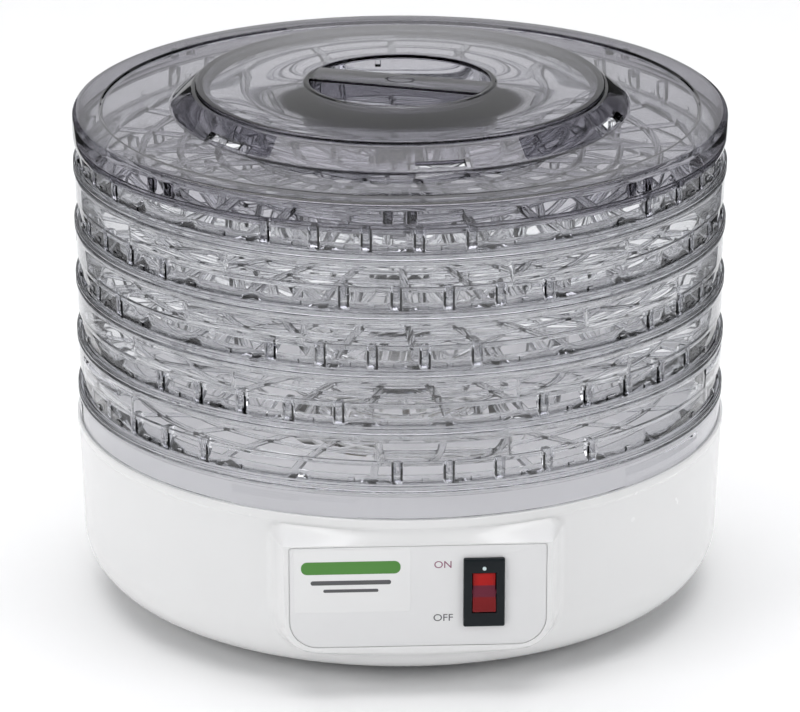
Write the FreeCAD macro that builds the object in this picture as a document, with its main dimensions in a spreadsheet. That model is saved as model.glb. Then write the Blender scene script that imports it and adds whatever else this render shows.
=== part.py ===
import FreeCAD, Part
import math
import os
import Sketcher

# Round stacking food dehydrator: a white base with fan and heater, five clear trays that
# stack on it, and a smoke-tinted lid whose centre dial opens and shuts six vents.
# Millimetres, +Z up, front towards -Y, origin on the floor at the middle of the base.

DOC = FreeCAD.newDocument("food_dehydrator")
SHEET = DOC.addObject("Spreadsheet::Sheet", "Sizes")

DRIVING_SIZES = {
    # Overall
    "base_radius": 161.7,
    "lid_radius": 161.0,
    "foot_lift": 1.5,
    "rim_height": 91.0,
    # Base housing
    "skin": 2.6,
    "shoulder_height": 30.0,
    "shoulder_radius": 159.0,
    "corner_bend": 26.7,
    "haunch_radius": 143.0,
    "haunch_height": 8.5,
    "under_bend": 98.0,
    "bottom_opening": 105.0,
    "deck_height": 80.0,
    "deck_thick": 2.5,
    "shelf_radius": 150.0,
    "deck_screw_circle": 153.5,
    "outlet_radius": 56.0,
    # Control panel
    "panel_front": 163.7,
    "boss_width": 138.0,
    "boss_depth": 36.0,
    "boss_low": 22.0,
    "boss_high": 80.5,
    "boss_low_bend": 20.0,
    "boss_high_bend": 8.0,
    "boss_blend": 6.0,
    "panel_width": 121.5,
    "panel_low": 28.1,
    "panel_high": 78.9,
    "panel_thick": 1.0,
    "panel_corner": 14.0,
    "switch_across": 31.2,
    "switch_height": 55.3,
    "bezel_width": 19.6,
    "bezel_tall": 34.6,
    "bezel_proud": 2.2,
    "window_width": 16.8,
    "window_tall": 29.6,
    "switch_depth": 20.0,
    "well_depth": 15.0,
    "pin_radius": 1.5,
    "rocker_width": 11.0,
    "rocker_reach": 9.8,
    # Bottom plate and feet
    "cover_thick": 2.5,
    "cover_screw_circle": 101.5,
    "foot_circle": 86.0,
    "foot_radius": 9.0,
    "stem_radius": 3.0,
    "post_radius": 5.0,
    # Trays
    "tray_pitch": 28.7,
    "tray_flange": 161.0,
    "tray_wall": 158.5,
    "tray_thick": 2.2,
    "tray_overlap": 2.0,
    "stack_gap": 0.3,
    "floor_thick": 2.0,
    "lattice_pitch": 19.0,
    "lattice_bar": 2.6,
    "first_ring": 15.0,
    "rib_width": 3.0,
    "rib_reach": 4.5,
    # Lid and dial
    "lid_top": 247.5,
    "annulus_radius": 147.0,
    "crown_foot": 112.8,
    "crown_top": 102.2,
    "crown_rise": 9.4,
    "dial_radius": 100.7,
    "dial_top": 258.8,
    "cup_radius": 44.6,
    "cup_lip": 0.5,
    "cup_floor": 240.0,
    "grip_width": 20.0,
    "vent_spread": 12.6,
    # Fan, motor and heater
    "shaft_radius": 1.5,
    "bush_radius": 4.0,
    "rotor_radius": 12.6,
    "core_low": 20.0,
    "core_high": 34.0,
    "core_half_width": 24.0,
    "bolt_across": 19.0,
    "bridge_height": 6.5,
    "coil_length": 27.0,
    "fan_low": 46.0,
    "fan_high": 54.0,
    "fan_radius": 50.0,
    "hub_radius": 9.0,
    "duct_radius": 57.5,
    "heater_height": 65.0,
    "coil_radius": 3.2,
    # Cord gland
    "gland_height": 40.0,
    "gland_bore": 3.6,
    "gland_shank": 6.0,
    "terminal_back": 81.5,
}


class Size:
    """A length or an angle: its value, and the sheet expression that keeps it."""

    def __init__(self, value, text):
        self.value = float(value)
        self.text = text

    def __add__(self, other):
        other = sized(other)
        return Size(self.value + other.value, f"({self.text} + {other.text})")

    def __sub__(self, other):
        other = sized(other)
        return Size(self.value - other.value, f"({self.text} - {other.text})")

    def __mul__(self, other):
        other = sized(other)
        return Size(self.value * other.value, f"({self.text} * {other.text})")

    def __truediv__(self, other):
        other = sized(other)
        return Size(self.value / other.value, f"({self.text} / {other.text})")

    def __neg__(self):
        return Size(-self.value, f"(0 - {self.text})")

    def __radd__(self, other):
        return sized(other) + self

    def __rsub__(self, other):
        return sized(other) - self

    def __rmul__(self, other):
        return sized(other) * self


def sized(number):
    """A plain number as a Size, so that both can be mixed in one sum."""
    if isinstance(number, Size):
        return number
    return Size(number, repr(float(number)))


class Sizes:
    """The sheet's cells by their aliases."""


S = Sizes()
for row, (alias, number) in enumerate(DRIVING_SIZES.items(), start=1):
    SHEET.set(f"A{row}", alias)
    SHEET.set(f"B{row}", str(number))
    SHEET.setAlias(f"B{row}", alias)
    setattr(S, alias, Size(number, f"Sizes.{alias}"))
DOC.recompute()


# ---------------------------------------------------------------- sketch and feature helpers

def origin_feature(body, role):
    """One of the body's own planes or axes."""
    return [item for item in body.Origin.OriginFeatures if item.Role == role][0]


def new_sketch(body, name, plane, lift=0.0, turn=0.0):
    """An empty sketch on a plane of the body, lifted along its normal and turned about it."""
    lift = sized(lift)
    sketch = body.newObject("Sketcher::SketchObject", name)
    sketch.AttachmentSupport = (origin_feature(body, plane), [""])
    sketch.MapMode = "FlatFace"
    turning = FreeCAD.Rotation(FreeCAD.Vector(0, 0, 1), turn)
    sketch.AttachmentOffset = FreeCAD.Placement(FreeCAD.Vector(0, 0, lift.value), turning)
    sketch.setExpression("AttachmentOffset.Base.z", lift.text)
    return sketch


def bind(sketch, kind, places, size, label):
    """A dimension of the sketch, kept by its expression."""
    index = sketch.addConstraint(Sketcher.Constraint(kind, *places, size.value))
    sketch.renameConstraint(index, label)
    sketch.setExpression(f"Constraints.{label}", size.text)


def arc_between(start, end, radius):
    """The short arc from start to end; a positive radius has its centre on the left."""
    middle = (start + end) * 0.5
    chord = end - start
    reach = math.sqrt(max(radius * radius - chord.Length * chord.Length / 4, 0.0))
    left = FreeCAD.Vector(-chord.y, chord.x, 0).normalize()
    centre = middle + left * math.copysign(reach, radius)
    first, last = (start, end) if radius > 0 else (end, start)
    angles = [math.atan2(point.y - centre.y, point.x - centre.x) for point in (first, last)]
    if angles[1] < angles[0]:
        angles[1] += 2 * math.pi
    circle = Part.Circle(centre, FreeCAD.Vector(0, 0, 1), abs(radius))
    return Part.ArcOfCircle(circle, *angles)


def add_outline(sketch, corners, tag="p"):
    """A closed outline. A corner is (across, up), or (across, up, radius) when the edge that
    leaves it is an arc. Every corner is dimensioned from the sketch's origin."""
    corners = [tuple(sized(number) for number in corner) for corner in corners]
    points = [FreeCAD.Vector(corner[0].value, corner[1].value, 0) for corner in corners]
    ends = []
    for place, corner in enumerate(corners):
        start = points[place]
        end = points[(place + 1) % len(points)]
        if len(corner) == 3:
            index = sketch.addGeometry(arc_between(start, end, corner[2].value), False)
            ends.append((index, 1, 2) if corner[2].value > 0 else (index, 2, 1))
        else:
            index = sketch.addGeometry(Part.LineSegment(start, end), False)
            ends.append((index, 1, 2))
    for place, (index, _, last) in enumerate(ends):
        following = ends[(place + 1) % len(ends)]
        sketch.addConstraint(Sketcher.Constraint("Coincident", index, last, following[0], following[1]))
    for place, corner in enumerate(corners):
        index, first, _ = ends[place]
        bind(sketch, "DistanceX", (-1, 1, index, first), corner[0], f"{tag}x{place}")
        bind(sketch, "DistanceY", (-1, 1, index, first), corner[1], f"{tag}y{place}")
        if len(corner) == 3:
            positive = corner[2] if corner[2].value > 0 else -corner[2]
            bind(sketch, "Radius", (index,), positive, f"{tag}r{place}")


def add_circle(sketch, across, up, radius, tag="c"):
    """A circle dimensioned from the sketch's origin."""
    across, up, radius = sized(across), sized(up), sized(radius)
    centre = FreeCAD.Vector(across.value, up.value, 0)
    index = sketch.addGeometry(Part.Circle(centre, FreeCAD.Vector(0, 0, 1), radius.value), False)
    bind(sketch, "DistanceX", (-1, 1, index, 3), across, f"{tag}x")
    bind(sketch, "DistanceY", (-1, 1, index, 3), up, f"{tag}y")
    bind(sketch, "Radius", (index,), radius, f"{tag}r")


def box_corners(left, right, low, high):
    """Corners of an upright rectangle, anticlockwise."""
    return [(left, low), (right, low), (right, high), (left, high)]


def feature(body, kind, name, profile, **settings):
    """A PartDesign feature on a profile; a Size among its settings is bound to the sheet."""
    made = body.newObject(kind, name)
    made.Profile = profile
    for key, value in settings.items():
        if isinstance(value, Size):
            setattr(made, key, value.value)
            made.setExpression(key, value.text)
        else:
            setattr(made, key, value)
    return made


def spun(body, name, corners):
    """A closed section in the XZ plane, turned once round the Z axis."""
    section = new_sketch(body, name + "_section", "XZ_Plane")
    add_outline(section, corners)
    return feature(body, "PartDesign::Revolution", name, section,
                   ReferenceAxis=(section, ["V_Axis"]), Angle=360.0)


def cut_check(body, made):
    """Recompute, and stop if a cutting feature took nothing away."""
    DOC.recompute()
    if made.Shape.isNull() or made.Shape.Volume > made.BaseFeature.Shape.Volume - 0.01:
        raise RuntimeError(f"{body.Label}: {made.Name} cuts nothing")


def grooved(body, name, corners, spread):
    """A section cut round the Z axis through a spread of degrees, centred on +X."""
    section = new_sketch(body, name + "_section", "XZ_Plane")
    add_outline(section, corners)
    made = feature(body, "PartDesign::Groove", name, section,
                   ReferenceAxis=(section, ["V_Axis"]), Angle=sized(spread), Midplane=True)
    cut_check(body, made)
    return made


def padded(body, name, sketch, length, midplane=False, reverse=False):
    """A pad along the sketch's normal, or against it, or half to each side."""
    return feature(body, "PartDesign::Pad", name, sketch, Length=sized(length),
                   Midplane=midplane, Reversed=reverse)


def pocketed(body, name, sketch, length, midplane=False, reverse=False):
    """A pocket against the sketch's normal, or along it, or half to each side."""
    made = feature(body, "PartDesign::Pocket", name, sketch, Length=sized(length),
                   Midplane=midplane, Reversed=reverse)
    cut_check(body, made)
    return made


def polar(body, name, originals, rounds):
    """Repeat features about the Z axis. Each round is (degrees, occurrences)."""
    DOC.recompute()
    repeat = body.newObject("PartDesign::MultiTransform", name)
    repeat.Originals = originals
    steps = []
    for number, (degrees, occurrences) in enumerate(rounds):
        step = body.newObject("PartDesign::PolarPattern", f"{name}_{number}")
        step.Axis = (origin_feature(body, "Z_Axis"), [""])
        step.Angle = degrees
        step.Occurrences = occurrences
        steps.append(step)
    repeat.Transformations = steps
    body.Tip = repeat
    DOC.recompute()
    return repeat


def new_body(label):
    """An empty body whose label names its file."""
    body = DOC.addObject("PartDesign::Body", label)
    body.Label = label
    return body


def solid_of(name, corners):
    """A body of revolution and nothing else."""
    body = new_body(name)
    spun(body, name + "_turned", corners)
    return body


def block_of(name, plane, corners, length, lift=0.0, turn=0.0):
    """A body that is one padded outline, half to each side of its sketch."""
    body = new_body(name)
    sketch = new_sketch(body, name + "_outline", plane, lift, turn)
    add_outline(sketch, corners)
    padded(body, name + "_pad", sketch, length, midplane=True)
    return body


def combined(kind, label, base, tool):
    """A Part boolean of two objects: Part::Cut, Part::Fuse or Part::Common."""
    made = DOC.addObject(kind, label)
    made.Label = label
    made.Base = base
    made.Tool = tool
    return made


def cylinder(label, radius, length, position, direction=(0, 0, 1)):
    """A Part cylinder from a point along a direction, its sizes bound to the sheet."""
    made = DOC.addObject("Part::Cylinder", label)
    made.Label = label
    radius, length = sized(radius), sized(length)
    made.setExpression("Radius", radius.text)
    made.setExpression("Height", length.text)
    turning = FreeCAD.Rotation(FreeCAD.Vector(0, 0, 1), FreeCAD.Vector(*direction))
    place_at(made, position, turning)
    return made


def place_at(made, position, turning=FreeCAD.Rotation()):
    """Place an object; each coordinate may be a Size and is then bound to the sheet."""
    position = [sized(number) for number in position]
    base = FreeCAD.Vector(*[number.value for number in position])
    made.Placement = FreeCAD.Placement(base, turning)
    for letter, number in zip("xyz", position):
        made.setExpression(f"Placement.Base.{letter}", number.text)


def group_of(label, members):
    """Several alike pieces kept as one node of separate solids."""
    made = DOC.addObject("Part::Compound", label)
    made.Label = label
    made.Links = members
    return made


def turned_about_z(degrees):
    return FreeCAD.Rotation(FreeCAD.Vector(0, 0, 1), degrees)


def on_circle(radius, degrees):
    """Two coordinates of a point on a circle about the Z axis."""
    angle = math.radians(degrees)
    return sized(radius) * math.cos(angle), sized(radius) * math.sin(angle)


PARTS = []


def keep(made):
    """Mark a finished sub-part, whose file is written at the end."""
    PARTS.append(made)
    return made


# ---------------------------------------------------------------- base housing

def housing_section():
    """The wall of the bowl: rounded underside, steep side, rim with a groove for the trays,
    a shelf for the deck and a stepped opening for the bottom plate."""
    low = S.foot_lift
    ledge = low + S.cover_thick
    inner = low + 5.0
    groove = S.rim_height - 2.5
    return [
        (S.bottom_opening, low),
        (S.bottom_opening + 13, low, S.under_bend),
        (S.haunch_radius, S.haunch_height, S.corner_bend),
        (S.shoulder_radius, S.shoulder_height),
        (S.base_radius - 0.5, S.rim_height - 5),
        (S.base_radius, S.rim_height - 4.3),
        (S.base_radius, S.rim_height - 0.6),
        (S.base_radius - 0.6, S.rim_height),
        (S.base_radius - 1.3, S.rim_height),
        (S.base_radius - 1.3, groove),
        (S.tray_wall + S.stack_gap, groove),
        (S.tray_wall + S.stack_gap, S.deck_height),
        (S.shelf_radius, S.deck_height),
        (S.shelf_radius, S.deck_height - 2.5),
        (S.shoulder_radius - 0.8, S.deck_height - 8.5),
        (S.shoulder_radius - S.skin, S.shoulder_height, -(S.corner_bend - S.skin)),
        (S.haunch_radius - 1.1, S.haunch_height + 2.3),
        (S.haunch_radius - 15, inner),
        (S.bottom_opening - 7, inner),
        (S.bottom_opening - 7, ledge),
        (S.bottom_opening, ledge),
    ]


def rounded_front(half_width, low, high, low_bend, high_bend):
    """Front view of a panel: square-ish at the top, well rounded at the bottom corners."""
    return [
        (low_bend - half_width, low),
        (half_width - low_bend, low, low_bend),
        (half_width, low + low_bend),
        (half_width, high - high_bend, high_bend),
        (half_width - high_bend, high),
        (high_bend - half_width, high, high_bend),
        (-half_width, high - high_bend),
        (-half_width, low + low_bend, low_bend),
    ]


def boss_moulding():
    """The flat-fronted swelling that carries the control panel, with a blended front edge."""
    body = new_body("boss_moulding")
    front = new_sketch(body, "boss_front", "XZ_Plane", S.panel_front - S.boss_depth)
    add_outline(front, rounded_front(S.boss_width / 2, S.boss_low, S.boss_high, S.boss_low_bend,
                                     S.boss_high_bend))
    block = padded(body, "boss_block", front, S.boss_depth)
    DOC.recompute()
    edges = []
    for number, edge in enumerate(block.Shape.Edges, start=1):
        if all(abs(vertex.Y + S.panel_front.value) < 0.01 for vertex in edge.Vertexes):
            edges.append(f"Edge{number}")
    blend = body.newObject("PartDesign::Fillet", "boss_blend")
    blend.Base = (block, edges)
    blend.Radius = S.boss_blend.value
    blend.setExpression("Radius", S.boss_blend.text)
    body.Tip = blend
    return body


def switch_opening():
    """Edges of the rectangular hole that the switch snaps into."""
    half_width, half_tall = S.window_width / 2, S.window_tall / 2
    return box_corners(S.switch_across - half_width, S.switch_across + half_width,
                       S.switch_height - half_tall, S.switch_height + half_tall)


def housing_moulding():
    """White bowl and panel boss in one moulding, hollow behind the panel, with the deck's
    seat left clear."""
    bowl = solid_of("housing_bowl", housing_section())
    whole = combined("Part::Fuse", "housing_with_boss", bowl, boss_moulding())
    half = S.boss_width / 2 - 8
    hollow = block_of("boss_hollow", "XZ_Plane",
                      box_corners(-half, half, S.boss_low + 5, S.deck_height - 9), 48.0,
                      S.panel_front - S.skin - 24)
    deck_seat = cylinder("deck_seat", S.tray_wall + S.stack_gap, 4.0, (0, 0, S.deck_height))
    spaces = group_of("housing_spaces", [hollow, deck_seat])
    opened = combined("Part::Cut", "housing_hollowed", whole, spaces)
    recess = block_of("panel_recess", "XZ_Plane",
                      rounded_front(S.panel_width / 2 + 0.3, S.panel_low - 0.3, S.panel_high + 0.3,
                                    S.panel_corner, sized(1.5)),
                      S.panel_thick * 2, S.panel_front)
    recessed = combined("Part::Cut", "housing_recessed", opened, recess)
    window = block_of("switch_window", "XZ_Plane", switch_opening(), 20.0, S.panel_front)
    windowed = combined("Part::Cut", "housing_windowed", recessed, window)
    gland_hole = cylinder("gland_hole", S.gland_shank + 0.3, 30.0, (0, 140, S.gland_height),
                          (0, 1, 0))
    holed = combined("Part::Cut", "housing_holed", windowed, gland_hole)
    screw_holes = []
    for number in range(4):
        x, y = on_circle(S.cover_screw_circle, 45 + 90 * number)
        screw_holes.append(cylinder(f"bottom_hole_{number}", 1.55, 10.0, (x, y, S.foot_lift)))
        x, y = on_circle(S.deck_screw_circle, 45 + 90 * number)
        screw_holes.append(cylinder(f"shelf_hole_{number}", 1.55, 12.0, (x, y, S.deck_height - 8)))
    bores = group_of("housing_screw_holes", screw_holes)
    return combined("Part::Cut", "housing_moulding", holed, bores)


def base_housing():
    """The moulding in three plain nodes that meet face to face: the upper wall with the rim
    and the deck's shelf, the rounded bowl below it, and the boss at the front."""
    moulding = housing_moulding()
    half = S.boss_width / 2
    depth = 48.0
    boss_space = block_of("boss_space", "XZ_Plane", box_corners(-half, half, S.boss_low, S.boss_high),
                          depth, S.panel_front - S.boss_depth + depth / 2)
    keep(combined("Part::Common", "panel_boss", moulding, boss_space))
    round_wall = combined("Part::Cut", "housing_round", moulding, boss_space)
    bowl_space = cylinder("bowl_space", S.base_radius + 10, S.shoulder_height, (0, 0, 0))
    keep(combined("Part::Common", "base_bowl", round_wall, bowl_space))
    keep(combined("Part::Cut", "base_housing", round_wall, bowl_space))


def faceplate():
    """Thin plate let into the boss, with a window for the switch."""
    body = new_body("faceplate")
    front = new_sketch(body, "faceplate_front", "XZ_Plane", S.panel_front - S.panel_thick)
    add_outline(front, rounded_front(S.panel_width / 2, S.panel_low, S.panel_high, S.panel_corner - 0.3,
                                     sized(1.2)))
    add_outline(front, switch_opening(), "w")
    padded(body, "faceplate_pad", front, S.panel_thick)
    return keep(body)


# ---------------------------------------------------------------- switch

def switch_housing():
    """Black snap-in case: a bezel in front of the plate and a box behind it."""
    body = new_body("switch_housing")
    middle, height = S.switch_across, S.switch_height
    front = new_sketch(body, "bezel_front", "XZ_Plane", S.panel_front)
    add_outline(front, box_corners(middle - S.bezel_width / 2, middle + S.bezel_width / 2,
                                   height - S.bezel_tall / 2, height + S.bezel_tall / 2))
    padded(body, "bezel_pad", front, S.bezel_proud)
    back = new_sketch(body, "case_outline", "XZ_Plane", S.panel_front)
    case_wide, case_tall = S.window_width / 2 - 0.2, S.window_tall / 2 - 0.2
    add_outline(back, box_corners(middle - case_wide, middle + case_wide,
                                  height - case_tall, height + case_tall))
    padded(body, "case_pad", back, S.switch_depth, reverse=True)
    well = new_sketch(body, "well_outline", "XZ_Plane", S.panel_front + S.bezel_proud)
    half_wide = S.rocker_width / 2 + S.stack_gap
    half_tall = S.rocker_reach + 0.4
    add_outline(well, box_corners(middle - half_wide, middle + half_wide,
                                  height - half_tall, height + half_tall))
    pocketed(body, "well", well, S.well_depth)
    axle = new_sketch(body, "axle_hole", "YZ_Plane", middle)
    add_circle(axle, -S.panel_front, height, S.pin_radius + 0.05)
    pocketed(body, "axle_bore", axle, S.rocker_width + 4, midplane=True)
    return keep(body)


ROCKER_PROUD = 3.6
ROCKER_END = 9.1


def rocker():
    """Red rocker: a half round that turns on two stub pins, with a dished front. Its upper
    end is pressed in, which is the on position."""
    body = new_body("rocker")
    reach = S.rocker_reach
    side = new_sketch(body, "rocker_side", "YZ_Plane", S.switch_across)
    front = -S.panel_front
    height = S.switch_height
    add_outline(side, [
        (front - ROCKER_PROUD, height - ROCKER_END, reach),
        (front + ROCKER_PROUD, height - ROCKER_END, reach),
        (front + reach, height, reach),
        (front + ROCKER_PROUD, height + ROCKER_END, reach),
        (front - 0.8, height + 9.7),
        (front - 0.8, height + 3.4),
    ])
    padded(body, "rocker_pad", side, S.rocker_width, midplane=True)
    pin = new_sketch(body, "pin_outline", "YZ_Plane", S.switch_across)
    add_circle(pin, front, height, S.pin_radius)
    padded(body, "pin_pad", pin, S.rocker_width + 3, midplane=True)
    return keep(body)


def switch_terminals():
    """Three flat blades that stand out of the back of the switch case."""
    blades = []
    back = S.panel_front - S.switch_depth
    for number in range(3):
        height = S.switch_height + (number - 1) * 9
        sketch_name = f"blade_{number}"
        blades.append(block_of(sketch_name, "XZ_Plane",
                               box_corners(S.switch_across - 2.4, S.switch_across + 2.4,
                                           height - 0.4, height + 0.4), 8.0, back - 4))
    return keep(group_of("switch_terminals", blades))


def pilot_dot():
    """Pale raised dot at the on end of the bezel."""
    return keep(cylinder("pilot_dot", 0.9, 0.5,
                         (S.switch_across, -(S.panel_front + S.bezel_proud), S.switch_height + 12.6),
                         (0, -1, 0)))


# ---------------------------------------------------------------- bottom of the base

FOOT_ANGLES = (0, 90, 180, 270)
SCREW_ANGLES = (45, 135, 225, 315)


def bottom_plate():
    """Cover under the base: sixteen air inlet slots, motor posts and holes for feet and screws."""
    body = new_body("bottom_plate")
    low = S.foot_lift
    disc = new_sketch(body, "plate_outline", "XY_Plane", low)
    add_circle(disc, 0, 0, S.bottom_opening - 0.3)
    for number, angle in enumerate(FOOT_ANGLES):
        x, y = on_circle(S.foot_circle, angle)
        add_circle(disc, x, y, S.stem_radius + 0.1, f"foot{number}")
    for number, angle in enumerate(SCREW_ANGLES):
        x, y = on_circle(S.cover_screw_circle, angle)
        add_circle(disc, x, y, 1.6, f"screw{number}")
    padded(body, "plate_pad", disc, S.cover_thick)
    inside = low + S.cover_thick
    post_top = S.core_low - S.bridge_height
    posts = new_sketch(body, "post_outline", "XY_Plane", inside)
    for number, x in enumerate((-S.bolt_across, S.bolt_across)):
        add_circle(posts, x, 0, S.post_radius, f"post{number}")
    padded(body, "post_pad", posts, post_top - inside)
    bores = new_sketch(body, "post_bores", "XY_Plane", post_top)
    for number, x in enumerate((-S.bolt_across, S.bolt_across)):
        add_circle(bores, x, 0, 1.55, f"bore{number}")
    pocketed(body, "post_bore", bores, 7.0)
    slot = new_sketch(body, "inlet_slot", "XY_Plane", inside, 11.25)
    add_outline(slot, [(36, -2), (66, -2, 2.3), (66, 2), (36, 2, 2.3)])
    inlet = pocketed(body, "inlet", slot, S.cover_thick)
    polar(body, "inlets", [inlet], [(360, 16)])
    return keep(body)


def rubber_feet():
    """Four rubber pads, each with a stem pushed through the bottom plate."""
    feet = []
    for number, angle in enumerate(FOOT_ANGLES):
        foot = solid_of(f"foot_{number}", [
            (0, 0),
            (S.foot_radius - 1, 0),
            (S.foot_radius, 0.6),
            (S.foot_radius, S.foot_lift),
            (S.stem_radius, S.foot_lift),
            (S.stem_radius, S.foot_lift + 4),
            (0, S.foot_lift + 4),
        ])
        place_at(foot, (*on_circle(S.foot_circle, angle), 0))
        feet.append(foot)
    return keep(group_of("rubber_feet", feet))


def screw_section(head_radius, head, shank_radius, length):
    """Half section of a pan head screw that points up, its head's underside at height 0."""
    return [
        (0, -head),
        (head_radius * 0.7, -head),
        (head_radius, -head * 0.45),
        (head_radius, 0),
        (shank_radius, 0),
        (shank_radius, length),
        (0, length),
    ]


def base_screws():
    """Four screws that hold the bottom plate to the housing's ledge."""
    screws = []
    for number, angle in enumerate(SCREW_ANGLES):
        screw = solid_of(f"base_screw_{number}", screw_section(2.6, 1.2, 1.45, 4.6))
        place_at(screw, (*on_circle(S.cover_screw_circle, angle), S.foot_lift))
        screws.append(screw)
    return keep(group_of("base_screws", screws))


# ---------------------------------------------------------------- deck, grille and duct

def deck_plate():
    """White deck that closes the base, with an upstanding rim like a tray's and the air outlet."""
    top = S.deck_height + S.deck_thick
    body = new_body("deck_plate")
    spun(body, "deck_turned", [
        (S.outlet_radius, S.deck_height),
        (S.tray_wall, S.deck_height),
        (S.tray_wall, S.rim_height),
        (S.tray_wall - S.tray_thick, S.rim_height),
        (S.tray_wall - S.tray_thick - 1.2, top + 1.0),
        (S.tray_wall - S.tray_thick - 3.0, top),
        (S.outlet_radius + 6, top),
        (S.outlet_radius + 6, top - 1.2),
        (S.outlet_radius, top - 1.2),
    ])
    holes = new_sketch(body, "deck_screw_holes", "XY_Plane", S.deck_height)
    for number, angle in enumerate(SCREW_ANGLES):
        x, y = on_circle(S.deck_screw_circle, angle)
        add_circle(holes, x, y, 1.5, f"hole{number}")
    pocketed(body, "deck_blind_holes", holes, 2.0, reverse=True)
    return keep(body)


def deck_screws():
    """Four screws that come up through the housing's shelf into the deck."""
    screws = []
    for number, angle in enumerate(SCREW_ANGLES):
        x, y = on_circle(S.deck_screw_circle, angle)
        boss = cylinder(f"deck_screw_head_{number}", 2.4, 1.8, (x, y, S.deck_height - 9.6))
        shank = cylinder(f"deck_screw_shank_{number}", 1.4, 9.5, (x, y, S.deck_height - 7.8))
        screws.append(combined("Part::Fuse", f"deck_screw_{number}", boss, shank))
    return keep(group_of("deck_screws", screws))


def ring_slots(sketch, rings, bar, turn=0.0):
    """Arc-ended windows of a lattice. Each ring is (inner, outer, count)."""
    for inner, outer, count in rings:
        for number in range(count):
            middle = turn + 360.0 * number / count
            half_low = 180.0 / count - math.degrees(bar / 2 / inner)
            half_high = 180.0 / count - math.degrees(bar / 2 / outer)
            corners = []
            for radius, angle in ((inner, middle - half_low), (outer, middle - half_high),
                                  (outer, middle + half_high), (inner, middle + half_low)):
                turned = math.radians(angle)
                corners.append(FreeCAD.Vector(radius * math.cos(turned), radius * math.sin(turned), 0))
            sketch.addGeometry([
                Part.LineSegment(corners[0], corners[1]),
                arc_between(corners[1], corners[2], outer),
                Part.LineSegment(corners[2], corners[3]),
                arc_between(corners[0], corners[3], inner),
            ], False)


def air_grille():
    """Guard over the air outlet: four rings of curved slots."""
    body = new_body("air_grille")
    face = new_sketch(body, "grille_face", "XY_Plane", S.deck_height + S.deck_thick - 1.2)
    add_circle(face, 0, 0, S.outlet_radius + 5.7)
    ring_slots(face, [(12.0, 20.0, 6), (23.0, 31.0, 12), (34.0, 42.0, 12), (45.0, 53.0, 18)], 3.0)
    padded(body, "grille_pad", face, 2.2)
    return keep(body)


def air_duct():
    """Thin steel duct under the deck that holds the heater above the fan."""
    top = S.deck_height
    return keep(solid_of("air_duct", [
        (S.duct_radius, S.core_high + 8),
        (S.duct_radius + 1, S.core_high + 8),
        (S.duct_radius + 1, top - 1.2),
        (S.duct_radius + 9, top - 1.2),
        (S.duct_radius + 9, top),
        (S.duct_radius, top),
    ]))


# ---------------------------------------------------------------- heater

HEATER_RINGS = (30.0, 46.0)


def torus(label, ring, tube, height):
    """A closed coil drawn as a plain ring."""
    made = DOC.addObject("Part::Torus", label)
    made.Radius1 = ring
    made.setExpression("Radius2", sized(tube).text)
    place_at(made, (0, 0, height))
    return made


def heater_frame():
    """Two mica plates crossed on edge inside the duct, pierced for the coils."""
    reach = S.duct_radius - 0.4
    low, high = S.heater_height - 8, S.heater_height + 8
    along = block_of("mica_along", "XZ_Plane", box_corners(-reach, reach, low, high), 1.0)
    across = block_of("mica_across", "YZ_Plane", box_corners(-reach, reach, low, high), 1.0)
    cross = combined("Part::Fuse", "mica_cross", along, across)
    clear = [torus(f"coil_clearance_{int(ring)}", ring, S.coil_radius + 0.3, S.heater_height)
             for ring in HEATER_RINGS]
    return keep(combined("Part::Cut", "heater_frame", cross, group_of("coil_clearance", clear)))


def heater_coil():
    """Two rings of coiled resistance wire, each drawn as one closed tube."""
    coils = [torus(f"coil_{int(ring)}", ring, S.coil_radius, S.heater_height) for ring in HEATER_RINGS]
    return keep(group_of("heater_coil", coils))


def thermostat():
    """Round bimetal thermostat on the underside of the deck."""
    x, y = on_circle(80.0, 60)
    can = cylinder("thermostat_can", 8.5, 5.0, (x, y, S.deck_height - 5))
    cap = cylinder("thermostat_cap", 6.5, 9.0, (x, y, S.deck_height - 9))
    return keep(combined("Part::Fuse", "thermostat", can, cap))


def thermal_fuse():
    """Thermal cut-off that lies in a clip under the deck."""
    return keep(cylinder("thermal_fuse", 2.0, 14.0, (-47, 65, S.deck_height - 4), (1, 0, 0)))


def fuse_clip():
    """Moulded clip round the thermal cut-off."""
    low, high = S.deck_height - 7, S.deck_height
    block = block_of("fuse_clip_block", "YZ_Plane", box_corners(62, 68, low, high), 5.0, -40)
    hole = cylinder("fuse_clip_hole", 2.1, 8.0, (-44, 65, S.deck_height - 4), (1, 0, 0))
    return keep(combined("Part::Cut", "fuse_clip", block, hole))


# ---------------------------------------------------------------- motor and fan

def motor_core():
    """Laminated stator: a frame with the rotor bore at one end and the coil's leg at the other."""
    body = new_body("motor_core")
    plan = new_sketch(body, "core_plan", "XY_Plane", S.core_low)
    add_outline(plan, box_corners(-S.core_half_width, S.core_half_width, -20, 42))
    add_outline(plan, box_corners(-14, 14, 17, 30), "w")
    add_circle(plan, 0, 0, S.rotor_radius + 0.4, "rotor")
    for number, x in enumerate((-S.bolt_across, S.bolt_across)):
        add_circle(plan, x, 0, 1.7, f"bolt{number}")
    padded(body, "core_pad", plan, S.core_high - S.core_low)
    return keep(body)


def motor_coil():
    """Bobbin and winding round the core's back leg."""
    body = new_body("motor_coil")
    side = new_sketch(body, "coil_side", "YZ_Plane")
    add_outline(side, box_corners(18, 54, S.core_low - 9, S.core_high + 9))
    add_outline(side, box_corners(29.7, 42.3, S.core_low - 0.3, S.core_high + 0.3), "w")
    padded(body, "coil_pad", side, S.coil_length, midplane=True)
    return keep(body)


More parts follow.
